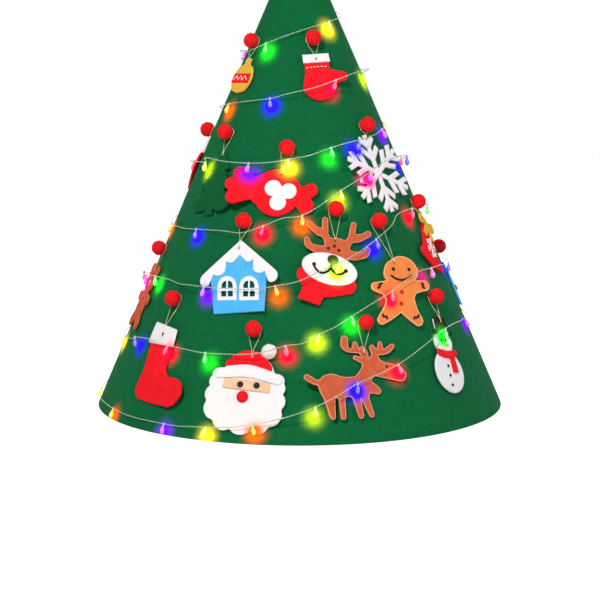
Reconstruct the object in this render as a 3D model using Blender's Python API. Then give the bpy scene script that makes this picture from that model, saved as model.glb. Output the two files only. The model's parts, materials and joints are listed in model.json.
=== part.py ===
"""Felt Christmas tree: a rolled felt cone with hanging felt ornaments and a wound string of lights.

Metres, +Z up, the front faces -Y, and the origin is the middle of the hem on the table.
An azimuth is measured in degrees from the front towards +X. A height is above the table.
"""

from math import asin, atan, atan2, ceil, copysign, cos, degrees, pi, radians, sin, sqrt, tan

import bmesh
import bpy
from mathutils import Matrix, Vector

# The felt cone
CONE_HEIGHT = 0.600
BASE_RADIUS = 0.260
FELT = 0.003
TIP_HEIGHT = 0.572
OVERLAP_ANGLE = 12.0
RAMP_ANGLE = 30.0
SEAM_AZIMUTH = 180.0

# The hook and loop strips that close the overlap
STRIP_WIDTH = 0.014
STRIP_THICK = 0.0012
STRIP_FOOT = 0.030
STRIP_TOP = 0.380
FADE_SHARE = 4.0

# Fits
GAP = 0.0003
WELD = 0.000001
CUT_OVERRUN = 0.002

# The pompom pegs and the gold hanging loops
POMPOM_RADIUS = 0.010
THREAD_RADIUS = 0.00055
ORNAMENT_SIZE = 0.100
ORNAMENT_FELT = 0.003
ORNAMENT_STANDOFF = 0.0005
LAYER_FELT = 0.0018
HAT_POMPOM_RADIUS = 0.0095
HAT_POMPOM_HEIGHT = 0.009
POMPOM_HEIGHT = 0.0186

# The string of lights
WIRE_RADIUS = 0.0009
BULB_RADIUS = 0.0028
BULB_LENGTH = 0.0125
WIRE_STEP = 0.028
STRING_START_HEIGHT = 0.0215
STRING_PITCH = 0.0735
STRING_START_AZIMUTH = -166.0
STRING_REFERENCE_AZIMUTH = -15.0
EYELET_RADIUS = 0.0014
EYELET_HEIGHT = 0.0235
EYELET_BACKSET = 6.0
LEAD_STANDOFF = 0.012
SWING_MARGIN = 0.004
PEG_CLEARANCE = 0.0045
PEG_REACH = 0.050
TURN_APART = 180.0

# The battery case on the table inside the cone
CASE_LENGTH = 0.066
CASE_WIDTH = 0.036
CASE_HEIGHT = 0.020
CASE_WALL = 0.0018
CASE_CENTRE_Y = 0.168
CELL_RADIUS = 0.0071
CELL_LENGTH = 0.0500
CELL_NUB_RADIUS = 0.0024
CELL_NUB_LENGTH = 0.0018
COVER_THICK = 0.0016
COVER_TONGUE = 0.0015
SWITCH_LENGTH = 0.007
SWITCH_WIDTH = 0.0035
SWITCH_PROUD = 0.0022
SWITCH_TRAVEL = 0.004

# The star on the tip
STAR_RADIUS = 0.044
STAR_INNER_SHARE = 0.46
STAR_THICK = 0.014
STAR_RIM_THICK = 0.005
STAR_SEAT = 0.016
SLEEVE_HEIGHT = 0.034
SLEEVE_FELT = 0.002
SLEEVE_LAP_SHARE = 0.6

# Round pieces: how many straight sides stand for a circle
POMPOM_SIDES = 10
POMPOM_STEPS = 5
BULB_SIDES = 5
CELL_SIDES = 14
BORE_SIDES = 10
CAP_SIDES = 24
LOOP_STEPS = 6
ARC_STEP = 32.0
PLAIN_COLUMNS = 53
RAMP_COLUMNS = 8
LAP_COLUMNS = 6
STRIP_COLUMNS = 4
STRIP_ROWS = 5
LIFT_SAMPLES = 4

SLOPE = atan(BASE_RADIUS / CONE_HEIGHT)
BOARD_MIDDLE = ORNAMENT_STANDOFF + ORNAMENT_FELT / 2
BOARD_FRONT = ORNAMENT_STANDOFF + ORNAMENT_FELT
LAYER_BACK = BOARD_FRONT + GAP
LAYER_FRONT = LAYER_BACK + LAYER_FELT
TOP_LAYER_BACK = LAYER_FRONT + GAP
STRIP_LAP = FELT + 2 * STRIP_THICK + 3 * GAP
PLAIN_LAP = FELT + 2 * GAP

COLOURS = {
    "green_felt": (0.004, 0.155, 0.040),
    "red_felt": (0.760, 0.010, 0.016),
    "white_felt": (0.880, 0.880, 0.890),
    "brown_felt": (0.520, 0.110, 0.045),
    "ginger_felt": (0.790, 0.200, 0.045),
    "blue_felt": (0.110, 0.440, 0.780),
    "skin_felt": (0.850, 0.560, 0.340),
    "black_felt": (0.012, 0.010, 0.010),
    "gold_felt": (0.830, 0.480, 0.100),
    "clear_wire": (0.700, 0.720, 0.660),
    "battery_case": (0.780, 0.780, 0.760),
    "battery_cell": (0.060, 0.150, 0.090),
    "switch_black": (0.020, 0.020, 0.022),
    "strip_black": (0.015, 0.015, 0.016),
}


def material(name):
    """One matt material for each colour of the tree."""
    found = bpy.data.materials.get(name)
    if found:
        return found
    made = bpy.data.materials.new(name)
    made.use_nodes = True
    shader = made.node_tree.nodes["Principled BSDF"]
    shader.inputs["Base Color"].default_value = (*COLOURS[name], 1)
    shader.inputs["Roughness"].default_value = 0.5 if name in ("clear_wire", "battery_case") else 0.95
    return made


def add_object(name, mesh, finish):
    """A named object of the tree with one material."""
    piece = bpy.data.objects.new(name, mesh)
    bpy.context.scene.collection.objects.link(piece)
    mesh.materials.clear()
    mesh.materials.append(material(finish))
    return piece


def mesh_from(name, points, faces):
    """A mesh with its faces turned outwards."""
    shape = bmesh.new()
    corners = [shape.verts.new(point) for point in points]
    for face in faces:
        shape.faces.new([corners[index] for index in face])
    bmesh.ops.recalc_face_normals(shape, faces=shape.faces)
    mesh = bpy.data.meshes.new(name)
    shape.to_mesh(mesh)
    shape.free()
    return mesh


def prism(name, outline, back, front):
    """A board cut to an outline, between two heights along its own Z."""
    count = len(outline)
    points = [(x, y, back) for x, y in outline] + [(x, y, front) for x, y in outline]
    faces = [tuple(range(count)), tuple(range(count, 2 * count))]
    faces += [(i, (i + 1) % count, count + (i + 1) % count, count + i) for i in range(count)]
    return mesh_from(name, points, faces)


def turned(name, profile, segments):
    """A solid turned about Z from a profile that starts and ends on the axis."""
    ring = [(radius, height) for radius, height in profile if radius > 0]
    points = [(radius * cos(2 * pi * step / segments), radius * sin(2 * pi * step / segments), height)
              for radius, height in ring for step in range(segments)]
    faces = []
    for row in range(len(ring) - 1):
        for step in range(segments):
            after = (step + 1) % segments
            low, high = row * segments, (row + 1) * segments
            faces.append((low + step, low + after, high + after, high + step))
    for row, pole in ((0, profile[0]), (len(ring) - 1, profile[-1])):
        rim = [row * segments + step for step in range(segments)]
        if pole[1] == ring[row][1]:
            faces.append(tuple(rim))
            continue
        points.append((0, 0, pole[1]))
        faces += [(rim[step], rim[(step + 1) % segments], len(points) - 1) for step in range(segments)]
    return mesh_from(name, points, faces)


def box(name, low, high):
    """A box between two corners."""
    shape = [(low[0], low[1]), (high[0], low[1]), (high[0], high[1]), (low[0], high[1])]
    return prism(name, shape, low[2], high[2])


def tube(name, route, radius, sides_setting):
    """A round tube with closed ends along a route of points."""
    curve = bpy.data.curves.new(name, "CURVE")
    curve.dimensions = "3D"
    curve.bevel_depth = radius
    curve.bevel_resolution = sides_setting
    curve.use_fill_caps = True
    spline = curve.splines.new("POLY")
    spline.points.add(len(route) - 1)
    for point, place in zip(spline.points, route):
        point.co = (*place, 1)
    holder = bpy.data.objects.new(name + "_route", curve)
    bpy.context.scene.collection.objects.link(holder)
    bpy.context.view_layer.update()
    mesh = bpy.data.meshes.new_from_object(holder.evaluated_get(bpy.context.evaluated_depsgraph_get()))
    bpy.data.objects.remove(holder)
    shape = bmesh.new()
    shape.from_mesh(mesh)
    bmesh.ops.remove_doubles(shape, verts=shape.verts, dist=WELD)
    bmesh.ops.recalc_face_normals(shape, faces=shape.faces)
    shape.to_mesh(mesh)
    shape.free()
    return mesh


def combine(piece, operation, tool_mesh, place=None, solver="EXACT"):
    """Joins a second solid to a piece, or cuts it away, with a Boolean modifier."""
    tool = bpy.data.objects.new(piece.name + "_" + operation.lower() + "_tool", tool_mesh)
    bpy.context.scene.collection.objects.link(tool)
    tool.matrix_world = place or piece.matrix_world
    tool.hide_render = True
    tool.display_type = "WIRE"
    change = piece.modifiers.new(operation.title(), "BOOLEAN")
    change.operation = operation
    change.object = tool
    change.solver = solver
    return change


def smoothstep(share):
    """A soft rise from 0 to 1."""
    share = min(max(share, 0.0), 1.0)
    return share * share * (3 - 2 * share)


# Places on the cone


def cone_radius(height, lift=0.0):
    """The cone's radius at a height, for a skin lifted off its outer face."""
    return BASE_RADIUS * (1 - height / CONE_HEIGHT) + lift / cos(SLOPE)


def on_cone(azimuth, height, lift=0.0):
    """A point at an azimuth and a height on a skin lifted off the cone."""
    turn, radius = radians(azimuth), cone_radius(height, lift)
    return Vector((radius * sin(turn), -radius * cos(turn), height))


def outward(azimuth):
    """The direction square to the cone's face."""
    turn = radians(azimuth)
    return Vector((sin(turn) * cos(SLOPE), -cos(turn) * cos(SLOPE), sin(SLOPE)))


def seat(azimuth, height):
    """A frame on the cone: X to the right, Y up the slope, Z straight out of the felt."""
    out = outward(azimuth)
    right = Vector((cos(radians(azimuth)), sin(radians(azimuth)), 0))
    frame = Matrix((right, out.cross(right), out)).transposed().to_4x4()
    frame.translation = on_cone(azimuth, height)
    return frame


def wrapped(azimuth):
    """The azimuth along the sheet's outer face, which ends at the outer edge of the overlap."""
    half = OVERLAP_ANGLE / 2
    while azimuth > SEAM_AZIMUTH + half:
        azimuth -= 360
    while azimuth <= SEAM_AZIMUTH + half - 360:
        azimuth += 360
    return azimuth


def lap_at(height):
    """How far the outer layer stands off at the overlap, with the strips or without."""
    fade = smoothstep((height - STRIP_TOP) / (TIP_HEIGHT - STRIP_TOP) * FADE_SHARE)
    return STRIP_LAP + (PLAIN_LAP - STRIP_LAP) * fade


def felt_lift(azimuth, height):
    """The outer face's lift off the plain cone, which is not zero near the overlap."""
    start = SEAM_AZIMUTH - OVERLAP_ANGLE / 2 - RAMP_ANGLE
    return lap_at(height) * smoothstep((wrapped(azimuth) - start) / RAMP_ANGLE)


# Outlines: each point is x, y and, where an arc leads to the next point, its bulge


def rounded(points):
    """Turns points and bulges into a plain list of points, with the arcs filled in."""
    outline = []
    for here, after in zip(points, points[1:] + points[:1]):
        start, end = Vector(here[:2]), Vector(after[:2])
        outline.append(start)
        bulge = here[2] if len(here) > 2 else 0
        if not bulge:
            continue
        turn = 4 * atan(bulge)
        chord = end - start
        steps = max(2, ceil(abs(degrees(turn)) / ARC_STEP))
        to_centre = Matrix.Rotation(pi / 2 - turn / 2, 2) @ chord.normalized()
        centre = start + to_centre * (chord.length / (2 * sin(turn / 2)))
        for step in range(1, steps):
            outline.append(centre + Matrix.Rotation(turn * step / steps, 2) @ (start - centre))
    return outline


def mirrored(half, top_bulge=0):
    """A whole outline from its left half, which runs from the top round to the bottom."""
    whole = list(half)
    for index in range(len(half) - 1, -1, -1):
        x, y = half[index][:2]
        bulge = half[index - 1][2] if index and len(half[index - 1]) > 2 else 0
        if index == 0:
            bulge = top_bulge
        if x:
            whole.append((-x, y, bulge))
        elif index == len(half) - 1:
            whole[-1] = (x, y, bulge)
    return whole


def ellipse(x, y, across, up, count=18, tilt=0.0):
    """An ellipse as a plain list of points."""
    spin = Matrix.Rotation(radians(tilt), 2)
    ring = [spin @ Vector((across * cos(2 * pi * step / count), up * sin(2 * pi * step / count)))
            for step in range(count)]
    return [Vector((x, y)) + point for point in ring]


def star(x, y, outer, inner, points=5, blunt=0.0):
    """A star as a plain list of points, one of them straight up."""
    ring = []
    for step in range(2 * points):
        reach = inner if step % 2 else outer
        turn = pi / 2 + pi * step / points
        for side in ((-1, 1) if blunt and not step % 2 else (0,)):
            ring.append(Vector((x + reach * cos(turn + side * blunt), y + reach * sin(turn + side * blunt))))
    return ring


def snowflake(reach, width, twig):
    """Six arms, each with two pairs of side twigs, as one outline."""
    side = []
    for place_share, length_share in FLAKE_TWIG_SHARES:
        foot, out = reach * place_share, twig * length_share
        side += [(width, foot), (width + out, foot + out), (out, foot + out + 2 * width),
                 (width, foot + 3 * width)]
    side.append((width, reach))
    arm = side + [(-x, y) for x, y in reversed(side)]
    outline = []
    for step in range(6):
        spin = Matrix.Rotation(radians(60 * step), 2)
        outline += [spin @ Vector(point) for point in arm]
        outline.append(spin @ Matrix.Rotation(radians(30), 2) @ Vector((0, width * 2)))
    return outline


# Where each pair of twigs leaves a snowflake's arm, and its length beside the longest
FLAKE_TWIG_SHARES = ((0.34, 1.0), (0.66, 0.8))

# Ornament outlines, in shares of ORNAMENT_SIZE about each figure's own middle

CANDY_SHARES = rounded([
    (0.19, 0.20, 0.42), (-0.21, 0.20, 0.10), (-0.29, 0.13), (-0.42, 0.20, 0.95), (-0.56, 0.08, 0.85),
    (-0.58, -0.09, 0.95), (-0.44, -0.22), (-0.295, -0.15, 0.10), (-0.21, -0.205, 0.46),
    (0.20, -0.215, 0.10), (0.26, -0.13), (0.35, -0.21, 0.45), (0.47, -0.06), (0.41, 0.00),
    (0.47, 0.08, 0.45), (0.38, 0.19), (0.265, 0.12, 0.10)])
CANDY_DOT_SHARES = rounded([
    (0.042, 0.066, 2.10), (-0.038, -0.071, 2.10), (0.117, -0.066, 2.10)])

HOUSE_WALL_SHARES = [(0, -0.05), (-0.355, -0.36), (-0.355, -0.45), (-0.285, -0.88), (0.36, -0.88),
                     (0.365, -0.45), (0.355, -0.36)]
HOUSE_ROOF_SHARES = [point + Vector((0.015, 0)) for point in rounded(mirrored([
    (0, 0.01), (-0.46, -0.385, 0.35), (-0.49, -0.50, 0.45), (-0.385, -0.525), (-0.33, -0.395, 0.45),
    (-0.185, -0.37, 0.05), (-0.175, -0.235, 0.55), (-0.07, -0.245), (0, -0.175)]))]

REINDEER_SHARES = rounded(mirrored([
    (0, 0.085), (-0.085, 0.07, -0.30), (-0.125, 0.15), (-0.140, 0.285, 0.95), (-0.210, 0.285),
    (-0.205, 0.170, -0.20), (-0.345, 0.235, 0.95), (-0.385, 0.165), (-0.245, 0.070, -0.45),
    (-0.160, 0.005, -0.60), (-0.185, -0.045), (-0.300, -0.040, -0.20), (-0.345, 0.020, 0.95),
    (-0.405, -0.015, 0.35), (-0.330, -0.115, 0.15), (-0.150, -0.160), (-0.130, -0.28)]))
REINDEER_SCARF_SHARES = rounded([
    (-0.30, -0.31), (-0.44, -0.37, 0.30), (-0.42, -0.50, 0.10), (-0.365, -0.575), (-0.41, -0.725),
    (-0.15, -0.775), (-0.105, -0.665, 0.08), (0.165, -0.590, 0.60), (0.255, -0.41, 0.20), (0.18, -0.31)])
REINDEER_MUZZLE_SHARES = ellipse(-0.07, -0.32, 0.34, 0.19, 20, -5)
REINDEER_NOSE_SHARES = ellipse(-0.045, -0.205, 0.068, 0.058, 10)

GINGERBREAD_SHARES = rounded([
    (0.205, -0.104, 0.25), (0.264, 0.044, 0.28), (0.085, 0.182, 0.22), (-0.109, 0.134, 0.26),
    (-0.244, -0.030, 0.28), (-0.215, -0.140), (-0.400, -0.177, 0.90), (-0.410, -0.288), (-0.300, -0.322),
    (-0.264, -0.380), (-0.288, -0.444), (-0.405, -0.600, 0.85), (-0.345, -0.690), (-0.225, -0.630),
    (-0.064, -0.527), (0.060, -0.622), (0.125, -0.662, 0.80), (0.240, -0.580), (0.186, -0.473),
    (0.157, -0.336), (0.192, -0.274), (0.330, -0.228, 0.95), (0.360, -0.103)])

SANTA_SHARES = rounded(mirrored([
    (0, 0.515, 0.18), (-0.225, 0.415, 0.10), (-0.300, 0.300), (-0.370, 0.290, 0.40), (-0.435, 0.190, 0.35),
    (-0.440, 0.070, 0.40), (-0.455, -0.110, 0.50), (-0.340, -0.330, 0.50), (-0.120, -0.405, 0.45)]))
SANTA_HAT_SHARES = rounded([
    (0.272, 0.318, 0.12), (0.190, 0.410, 0.10), (0.065, 0.497, 0.10), (-0.08, 0.500, 0.12),
    (-0.215, 0.415, 0.12), (-0.298, 0.318, -0.09)])
SANTA_BRIM_SHARES = rounded([(0.36, 0.285, 0.12), (-0.36, 0.285, 0.90), (-0.37, 0.165, -0.12),
                             (0.37, 0.165, 0.90)])
SANTA_FACE_SHARES = rounded([(0.28, 0.172, 0.05), (-0.28, 0.172), (-0.28, 0.060), (0.28, 0.060)])
SANTA_NOSE_SHARES = ellipse(-0.025, -0.020, 0.070, 0.070, 14)
SANTA_POMPOM_PLACE_SHARES = (0.190, 0.547)
SANTA_TAB_SHARES = ellipse(*SANTA_POMPOM_PLACE_SHARES, 0.06, 0.06, 10)
SANTA_BRIDGE_SHARES = [(0.02, 0.40), (0.18, 0.40), (0.20, 0.51), (0.12, 0.55)]

STOCKING_SHARES = rounded([
    (0.19, 0.07), (-0.18, 0.10), (-0.205, -0.140), (-0.190, -0.434), (-0.225, -0.710, 0.35),
    (-0.060, -0.832, 0.03), (0.345, -0.838, 0.42), (0.622, -0.662, 0.40), (0.465, -0.484),
    (0.310, -0.483, -0.30), (0.208, -0.385), (0.206, -0.130)])
STOCKING_CUFF_SHARES = rounded([
    (0.224, 0.060, 0.40), (0.205, 0.084), (-0.180, 0.130, 0.40), (-0.205, 0.110), (-0.238, -0.110, 0.40),
    (-0.215, -0.138), (0.220, -0.128, 0.40), (0.242, -0.100)])

DEER_SHARES = rounded([
    (-0.345, 0.164, 0.90), (-0.385, 0.107), (-0.290, 0.049), (-0.235, 0.035, 0.10), (-0.185, -0.109),
    (-0.125, -0.340, 0.90), (-0.060, -0.335), (-0.045, -0.119), (0.000, -0.119), (0.005, -0.344, 0.90),
    (0.070, -0.340), (0.080, -0.119), (0.125, -0.100), (0.170, -0.119), (0.225, -0.340, 0.90),
    (0.290, -0.330), (0.275, -0.128), (0.360, -0.335, 0.90), (0.420, -0.320), (0.380, -0.109),
    (0.400, -0.071), (0.470, -0.080, 0.90), (0.525, -0.013), (0.430, 0.073, -0.10), (0.465, 0.136),
    (0.800, 0.064, 0.60), (0.865, 0.174, 0.20), (0.740, 0.265), (0.590, 0.308, -0.20), (0.545, 0.376),
    (0.680, 0.400), (0.765, 0.476, 0.90), (0.715, 0.505), (0.625, 0.448), (0.610, 0.529, 0.90),
    (0.560, 0.515), (0.545, 0.443), (0.515, 0.481, 0.90), (0.450, 0.472), (0.470, 0.385), (0.425, 0.342),
    (0.415, 0.428), (0.375, 0.476, 0.90), (0.325, 0.443), (0.300, 0.529, 0.90), (0.245, 0.515),
    (0.225, 0.462, -0.50), (0.185, 0.491), (0.190, 0.582, 0.90), (0.105, 0.577, 0.10), (0.095, 0.496, 0.30),
    (0.185, 0.419), (0.310, 0.404), (0.345, 0.356), (0.265, 0.380, 0.90), (0.250, 0.328), (0.335, 0.284),
    (0.330, 0.246, -0.10), (0.230, 0.131, -0.15), (-0.050, 0.169, 0.10), (-0.170, 0.140, -0.20),
    (-0.240, 0.097)])

SNOWMAN_SHARES = rounded(mirrored([
    (-0.100, -0.010), (-0.100, -0.160), (-0.145, -0.215, 0.45), (-0.115, -0.420), (-0.190, -0.475, 0.55),
    (-0.120, -0.910, 0.22)]))
SNOWMAN_HAT_SHARES = mirrored([
    (-0.115, 0.010), (-0.115, -0.150), (-0.195, -0.150), (-0.195, -0.205)])
SNOWMAN_SCARF_SHARES = rounded([
    (0.175, -0.395, -0.10), (-0.175, -0.395, 0.50), (-0.185, -0.475, 0.12), (0.045, -0.505),
    (0.055, -0.690), (0.155, -0.680), (0.135, -0.495), (0.185, -0.475, 0.50)])

BELL_SHARES = rounded(mirrored([
    (0, -0.215, 0.25), (-0.115, -0.300, 0.05), (-0.190, -0.600, -0.15), (-0.310, -0.740, 0.50),
    (-0.290, -0.810, 0.20)]))
BELL_BOW_SHARES = rounded(mirrored([
    (0, -0.220), (-0.160, -0.150, 0.30), (-0.220, -0.220, 0.30), (-0.180, -0.300), (-0.060, -0.270),
    (-0.150, -0.430), (-0.070, -0.450), (0, -0.330)]))

BEAR_SHARES = rounded(mirrored([
    (0, -0.250, 0.05), (-0.080, -0.265), (-0.105, -0.225, 1.20), (-0.195, -0.330, 0.25),
    (-0.175, -0.520, 0.10), (-0.125, -0.570), (-0.285, -0.595, 0.90), (-0.275, -0.715),
    (-0.185, -0.715, 0.12), (-0.195, -0.850), (-0.270, -0.950, 0.90), (-0.130, -1.020), (0, -0.920)]))

MINI_TREE_SHARES = rounded(mirrored([
    (0, -0.220), (-0.185, -0.455, 0.45), (-0.110, -0.470), (-0.270, -0.690, 0.45), (-0.170, -0.710),
    (-0.340, -0.930, 0.45), (-0.070, -0.975), (-0.070, -1.060)]))

MITTEN_SHARES = rounded([
    (0.150, -0.210), (-0.150, -0.210), (-0.160, -0.420, 0.05), (-0.215, -0.640, 0.75), (0.185, -0.660),
    (0.190, -0.600), (0.285, -0.560, 0.85), (0.335, -0.450), (0.160, -0.400)])

BAUBLE_SHARES = rounded(mirrored([
    (-0.055, -0.215), (-0.055, -0.285, 0.62), (-0.150, -0.640, 0.20)]))

STAR_COOKIE_SHARES = star(0, -0.500, 0.290, 0.140, blunt=0.09)

GIFT_SHARES = rounded(mirrored([
    (0, -0.260), (-0.130, -0.180, 0.80), (-0.120, -0.310), (-0.250, -0.320), (-0.250, -0.780)]))

HEART_SHARES = rounded(mirrored([(0, -0.340, 0.85), (-0.260, -0.480, 0.12), (0, -0.800)]))

CANDY_CANE_SHARES = rounded([
    (0.090, -0.340, 1.0), (-0.190, -0.340, 0.90), (-0.110, -0.340, -1.0), (0.010, -0.340),
    (0.010, -0.900, 0.90), (0.090, -0.900)])

FLAKE_REACH_SHARE = 0.50
FLAKE_ARM_SHARE = 0.030
FLAKE_TWIG_SHARE = 0.125

# One row for each ornament: azimuth, height share, middle, lean clockwise, swing, hole, colour and outline.
# A layer is a glued piece: its name, colour, outline and the layer it lies on.
ORNAMENTS = {
    "candy": dict(azimuth=-6.8, height_share=0.547, middle_share=(-0.10, -0.54), lean=11, swing=5,
                  hole_share=(0, 0.22), finish="red_felt", outline=CANDY_SHARES,
                  layers=[("candy_dots", "white_felt", CANDY_DOT_SHARES, "raised")]),
    "snowflake": dict(azimuth=46, height_share=0.590, middle_share=(0, -0.61), lean=-5, swing=6,
                      hole_share=(0, 0.44), finish="white_felt",
                      outline=snowflake(FLAKE_REACH_SHARE, FLAKE_ARM_SHARE, FLAKE_TWIG_SHARE), layers=[]),
    "house": dict(azimuth=-24.2, height_share=0.405, middle_share=(-0.02, -0.24), lean=-7, swing=8,
                  hole_share=(0, -0.09), finish="blue_felt", outline=HOUSE_WALL_SHARES,
                  layers=[("house_roof", "white_felt", HOUSE_ROOF_SHARES, "raised")]),
    "reindeer": dict(azimuth=16, height_share=0.429, middle_share=(-0.02, -0.43), lean=12, swing=5,
                     hole_share=(-0.03, 0.05), finish="brown_felt", outline=REINDEER_SHARES,
                     layers=[("reindeer_scarf", "red_felt", REINDEER_SCARF_SHARES, "sewn"),
                             ("reindeer_muzzle", "white_felt", REINDEER_MUZZLE_SHARES, "raised"),
                             ("reindeer_nose", "black_felt", REINDEER_NOSE_SHARES, "top")]),
    "gingerbread": dict(azimuth=35.6, height_share=0.402, middle_share=(0.17, -0.62), lean=9, swing=4,
                        hole_share=(-0.075, 0.095), finish="ginger_felt", outline=GINGERBREAD_SHARES,
                        layers=[]),
    "santa": dict(azimuth=-14.4, height_share=0.205, middle_share=(-0.03, -0.78), lean=4, swing=7,
                  hole_share=(0.01, 0.46), finish="white_felt", outline=SANTA_SHARES,
                  tabs=(SANTA_TAB_SHARES, SANTA_BRIDGE_SHARES),
                  layers=[("santa_hat", "red_felt", SANTA_HAT_SHARES, "raised"),
                          ("santa_brim", "white_felt", SANTA_BRIM_SHARES, "raised"),
                          ("santa_face", "skin_felt", SANTA_FACE_SHARES, "raised"),
                          ("santa_nose", "red_felt", SANTA_NOSE_SHARES, "raised")]),
    "stocking": dict(azimuth=-48.4, height_share=0.247, middle_share=(0, -0.44), lean=0, swing=6,
                     hole_share=(-0.01, 0), finish="red_felt", outline=STOCKING_SHARES,
                     layers=[("stocking_cuff", "white_felt", STOCKING_CUFF_SHARES, "raised")]),
    "deer": dict(azimuth=21.4, height_share=0.215, middle_share=(-0.46, -0.74), lean=3, swing=6,
                 hole_share=(0.37, 0.40), finish="brown_felt", outline=DEER_SHARES, layers=[]),
    "snowman": dict(azimuth=54.3, height_share=0.247, middle_share=(-0.04, -0.26), lean=12, swing=8,
                    hole_share=(0, -0.06), finish="white_felt", outline=SNOWMAN_SHARES,
                    layers=[("snowman_hat", "black_felt", SNOWMAN_HAT_SHARES, "raised"),
                            ("snowman_scarf", "red_felt", SNOWMAN_SCARF_SHARES, "raised")]),
    "bell": dict(azimuth=71, height_share=0.430, middle_share=(0.24, -0.10), lean=34, swing=8,
                 hole_share=(0, -0.25), finish="red_felt", outline=BELL_SHARES,
                 layers=[("bell_bow", "gold_felt", BELL_BOW_SHARES, "raised")]),
    "bear": dict(azimuth=-76, height_share=0.332, middle_share=(0, 0), lean=0, swing=12,
                 hole_share=(0, -0.29), finish="brown_felt", outline=BEAR_SHARES, layers=[]),
    "mini_tree": dict(azimuth=-50, height_share=0.575, middle_share=(0, 0), lean=-6, swing=5,
                      hole_share=(0, -0.29), finish="green_felt", outline=MINI_TREE_SHARES, layers=[]),
    "mitten": dict(azimuth=14, height_share=0.765, middle_share=(0, 0), lean=-4, swing=10,
                   hole_share=(0, -0.26), finish="red_felt", outline=MITTEN_SHARES, layers=[]),
    "bauble": dict(azimuth=-58, height_share=0.760, middle_share=(0, 0), lean=0, swing=10,
                   hole_share=(0, -0.26), finish="gold_felt", outline=BAUBLE_SHARES, layers=[]),
    "star_cookie": dict(azimuth=138, height_share=0.567, middle_share=(0, 0), lean=5, swing=10,
                        hole_share=(0, -0.27), finish="ginger_felt", outline=STAR_COOKIE_SHARES, layers=[]),
    "gift": dict(azimuth=100, height_share=0.322, middle_share=(0, 0), lean=0, swing=10,
                 hole_share=(0, -0.31), finish="blue_felt", outline=GIFT_SHARES, layers=[]),
    "heart": dict(azimuth=-97, height_share=0.575, middle_share=(0, 0), lean=0, swing=10,
                  hole_share=(0, -0.40), finish="red_felt", outline=HEART_SHARES, layers=[]),
    "candy_cane": dict(azimuth=-128, height_share=0.260, middle_share=(0, 0), lean=6, swing=10,
                       hole_share=(-0.05, -0.25), finish="white_felt", outline=CANDY_CANE_SHARES, layers=[]),
}

# The lights, by their azimuth on each turn of the string
BULB_AZIMUTHS = [
    (-140, -112, -88, -62, -38, -24, -12, 4, 16, 29, 52, 76, 100, 124, 148, 172),
    (-161, -134, -107, -80, -62, -43, -28, -4, 6, 16.5, 33, 54, 82, 110, 136, 163),
    (-168, -140, -110, -90, -78, -65, -34, -8, 14, 31, 59, 86, 116, 147, 177),
    (-150, -116, -80, -50, -15, 1, 18, 37, 72, 108, 144, 180),
    (-140, -98, -59, -24, -6, 16, 34, 65, 105, 148),
    (-165, -112, -62, -22, 26, 72, 122),
    (-176, -105, -35, 40, 120),
]

# A light's radius and its drop below the wire, in shares of BULB_RADIUS and BULB_LENGTH
BULB_SHARES = ((0.45, -0.10), (1.0, 0.62), (0.60, 0.95))

# How far the string sways off a plain helix, as a share of its pitch, at azimuths round the cone
SWAY_AZIMUTHS = (-180, -150, -120, -90, -75, -45, -30, -15, 0, 10, 20, 30, 40, 50, 60, 90, 120, 150, 180)
SWAY_SHARES = (0.44, 0.33, 0.22, 0.12, 0.08, 0.04, 0, 0, 0.08, 0.245, 0.42, 0.60, 0.76, 0.88, 0.91, 0.84,
               0.71, 0.57, 0.44)
SWAY_BY_TURN_SHARES = (1.1, 1.2, 1.0, 1.0, 0.95, 0.3, 0.2, 0.1, 0.1)

# The lead inside the cone, from the battery case to the eyelet
LEAD_POINTS = [(-0.012, 0.1863, 0.0080), (-0.012, 0.1905, 0.0080), (-0.018, 0.2010, 0.0090),
               (-0.036, 0.2160, 0.0130), (-0.050, 0.2290, 0.0200)]


# Small bends of the wound string off that sway: winding angle and share of the pitch
STRING_BEND_SHARES = (
    (-100, 0), (-75, -0.05), (-46, -0.10), (-22, -0.085), (-9, -0.045), (3, 0), (18, 0.06), (29, -0.02),
    (60, 0), (280, 0), (306, 0.10), (320, 0.04), (335, -0.01), (348, -0.03), (364, 0.065), (378, 0.08),
    (390, 0.11), (405, 0.12), (418, 0.05), (450, 0), (600, 0), (625, 0), (661, 0.07), (678, -0.01),
    (692, -0.015), (714, -0.06), (727, -0.03), (742, -0.045), (756, 0.01), (780, 0.06), (810, 0),
    (980, 0), (1000, -0.06), (1021, -0.10), (1040, -0.10), (1052, 0), (1068, 0.02), (1078, -0.04),
    (1091, -0.03), (1100, 0), (1377, 0.01), (1392, -0.04), (1406, -0.11), (1414, -0.12), (1433, -0.02),
    (1442, -0.03), (1459, -0.07), (1490, 0))


def figure_points(figure, outline):
    """An outline in metres about the peg, with its place and its lean."""
    spin = Matrix.Rotation(radians(-figure["lean"]), 2)
    middle = Vector(figure["middle_share"])
    return [(middle + spin @ Vector(point[:2])) * ORNAMENT_SIZE for point in outline]


def figure_seat(figure):
    """Where the figure's peg stands on the cone."""
    return seat(figure["azimuth"], figure["height_share"] * CONE_HEIGHT)


def pompom_profile(radius, seat_height, height):
    """A ball with a flat back, from its back to its front."""
    middle = seat_height + height - radius
    first = asin(max(-1.0, (seat_height - middle) / radius))
    turns = [first + (pi / 2 - first) * step / POMPOM_STEPS for step in range(POMPOM_STEPS)]
    rows = [(radius * cos(turn), middle + radius * sin(turn)) for turn in turns]
    return [(0, seat_height)] + rows + [(0, seat_height + height)]


def pompom(name, place, radius, seat_height, height, finish):
    """A round pompom sewn flat to what carries it."""
    ball = add_object(name, turned(name, pompom_profile(radius, seat_height, height), POMPOM_SIDES), finish)
    ball.data.shade_smooth()
    ball.matrix_world = place
    return ball


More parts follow.
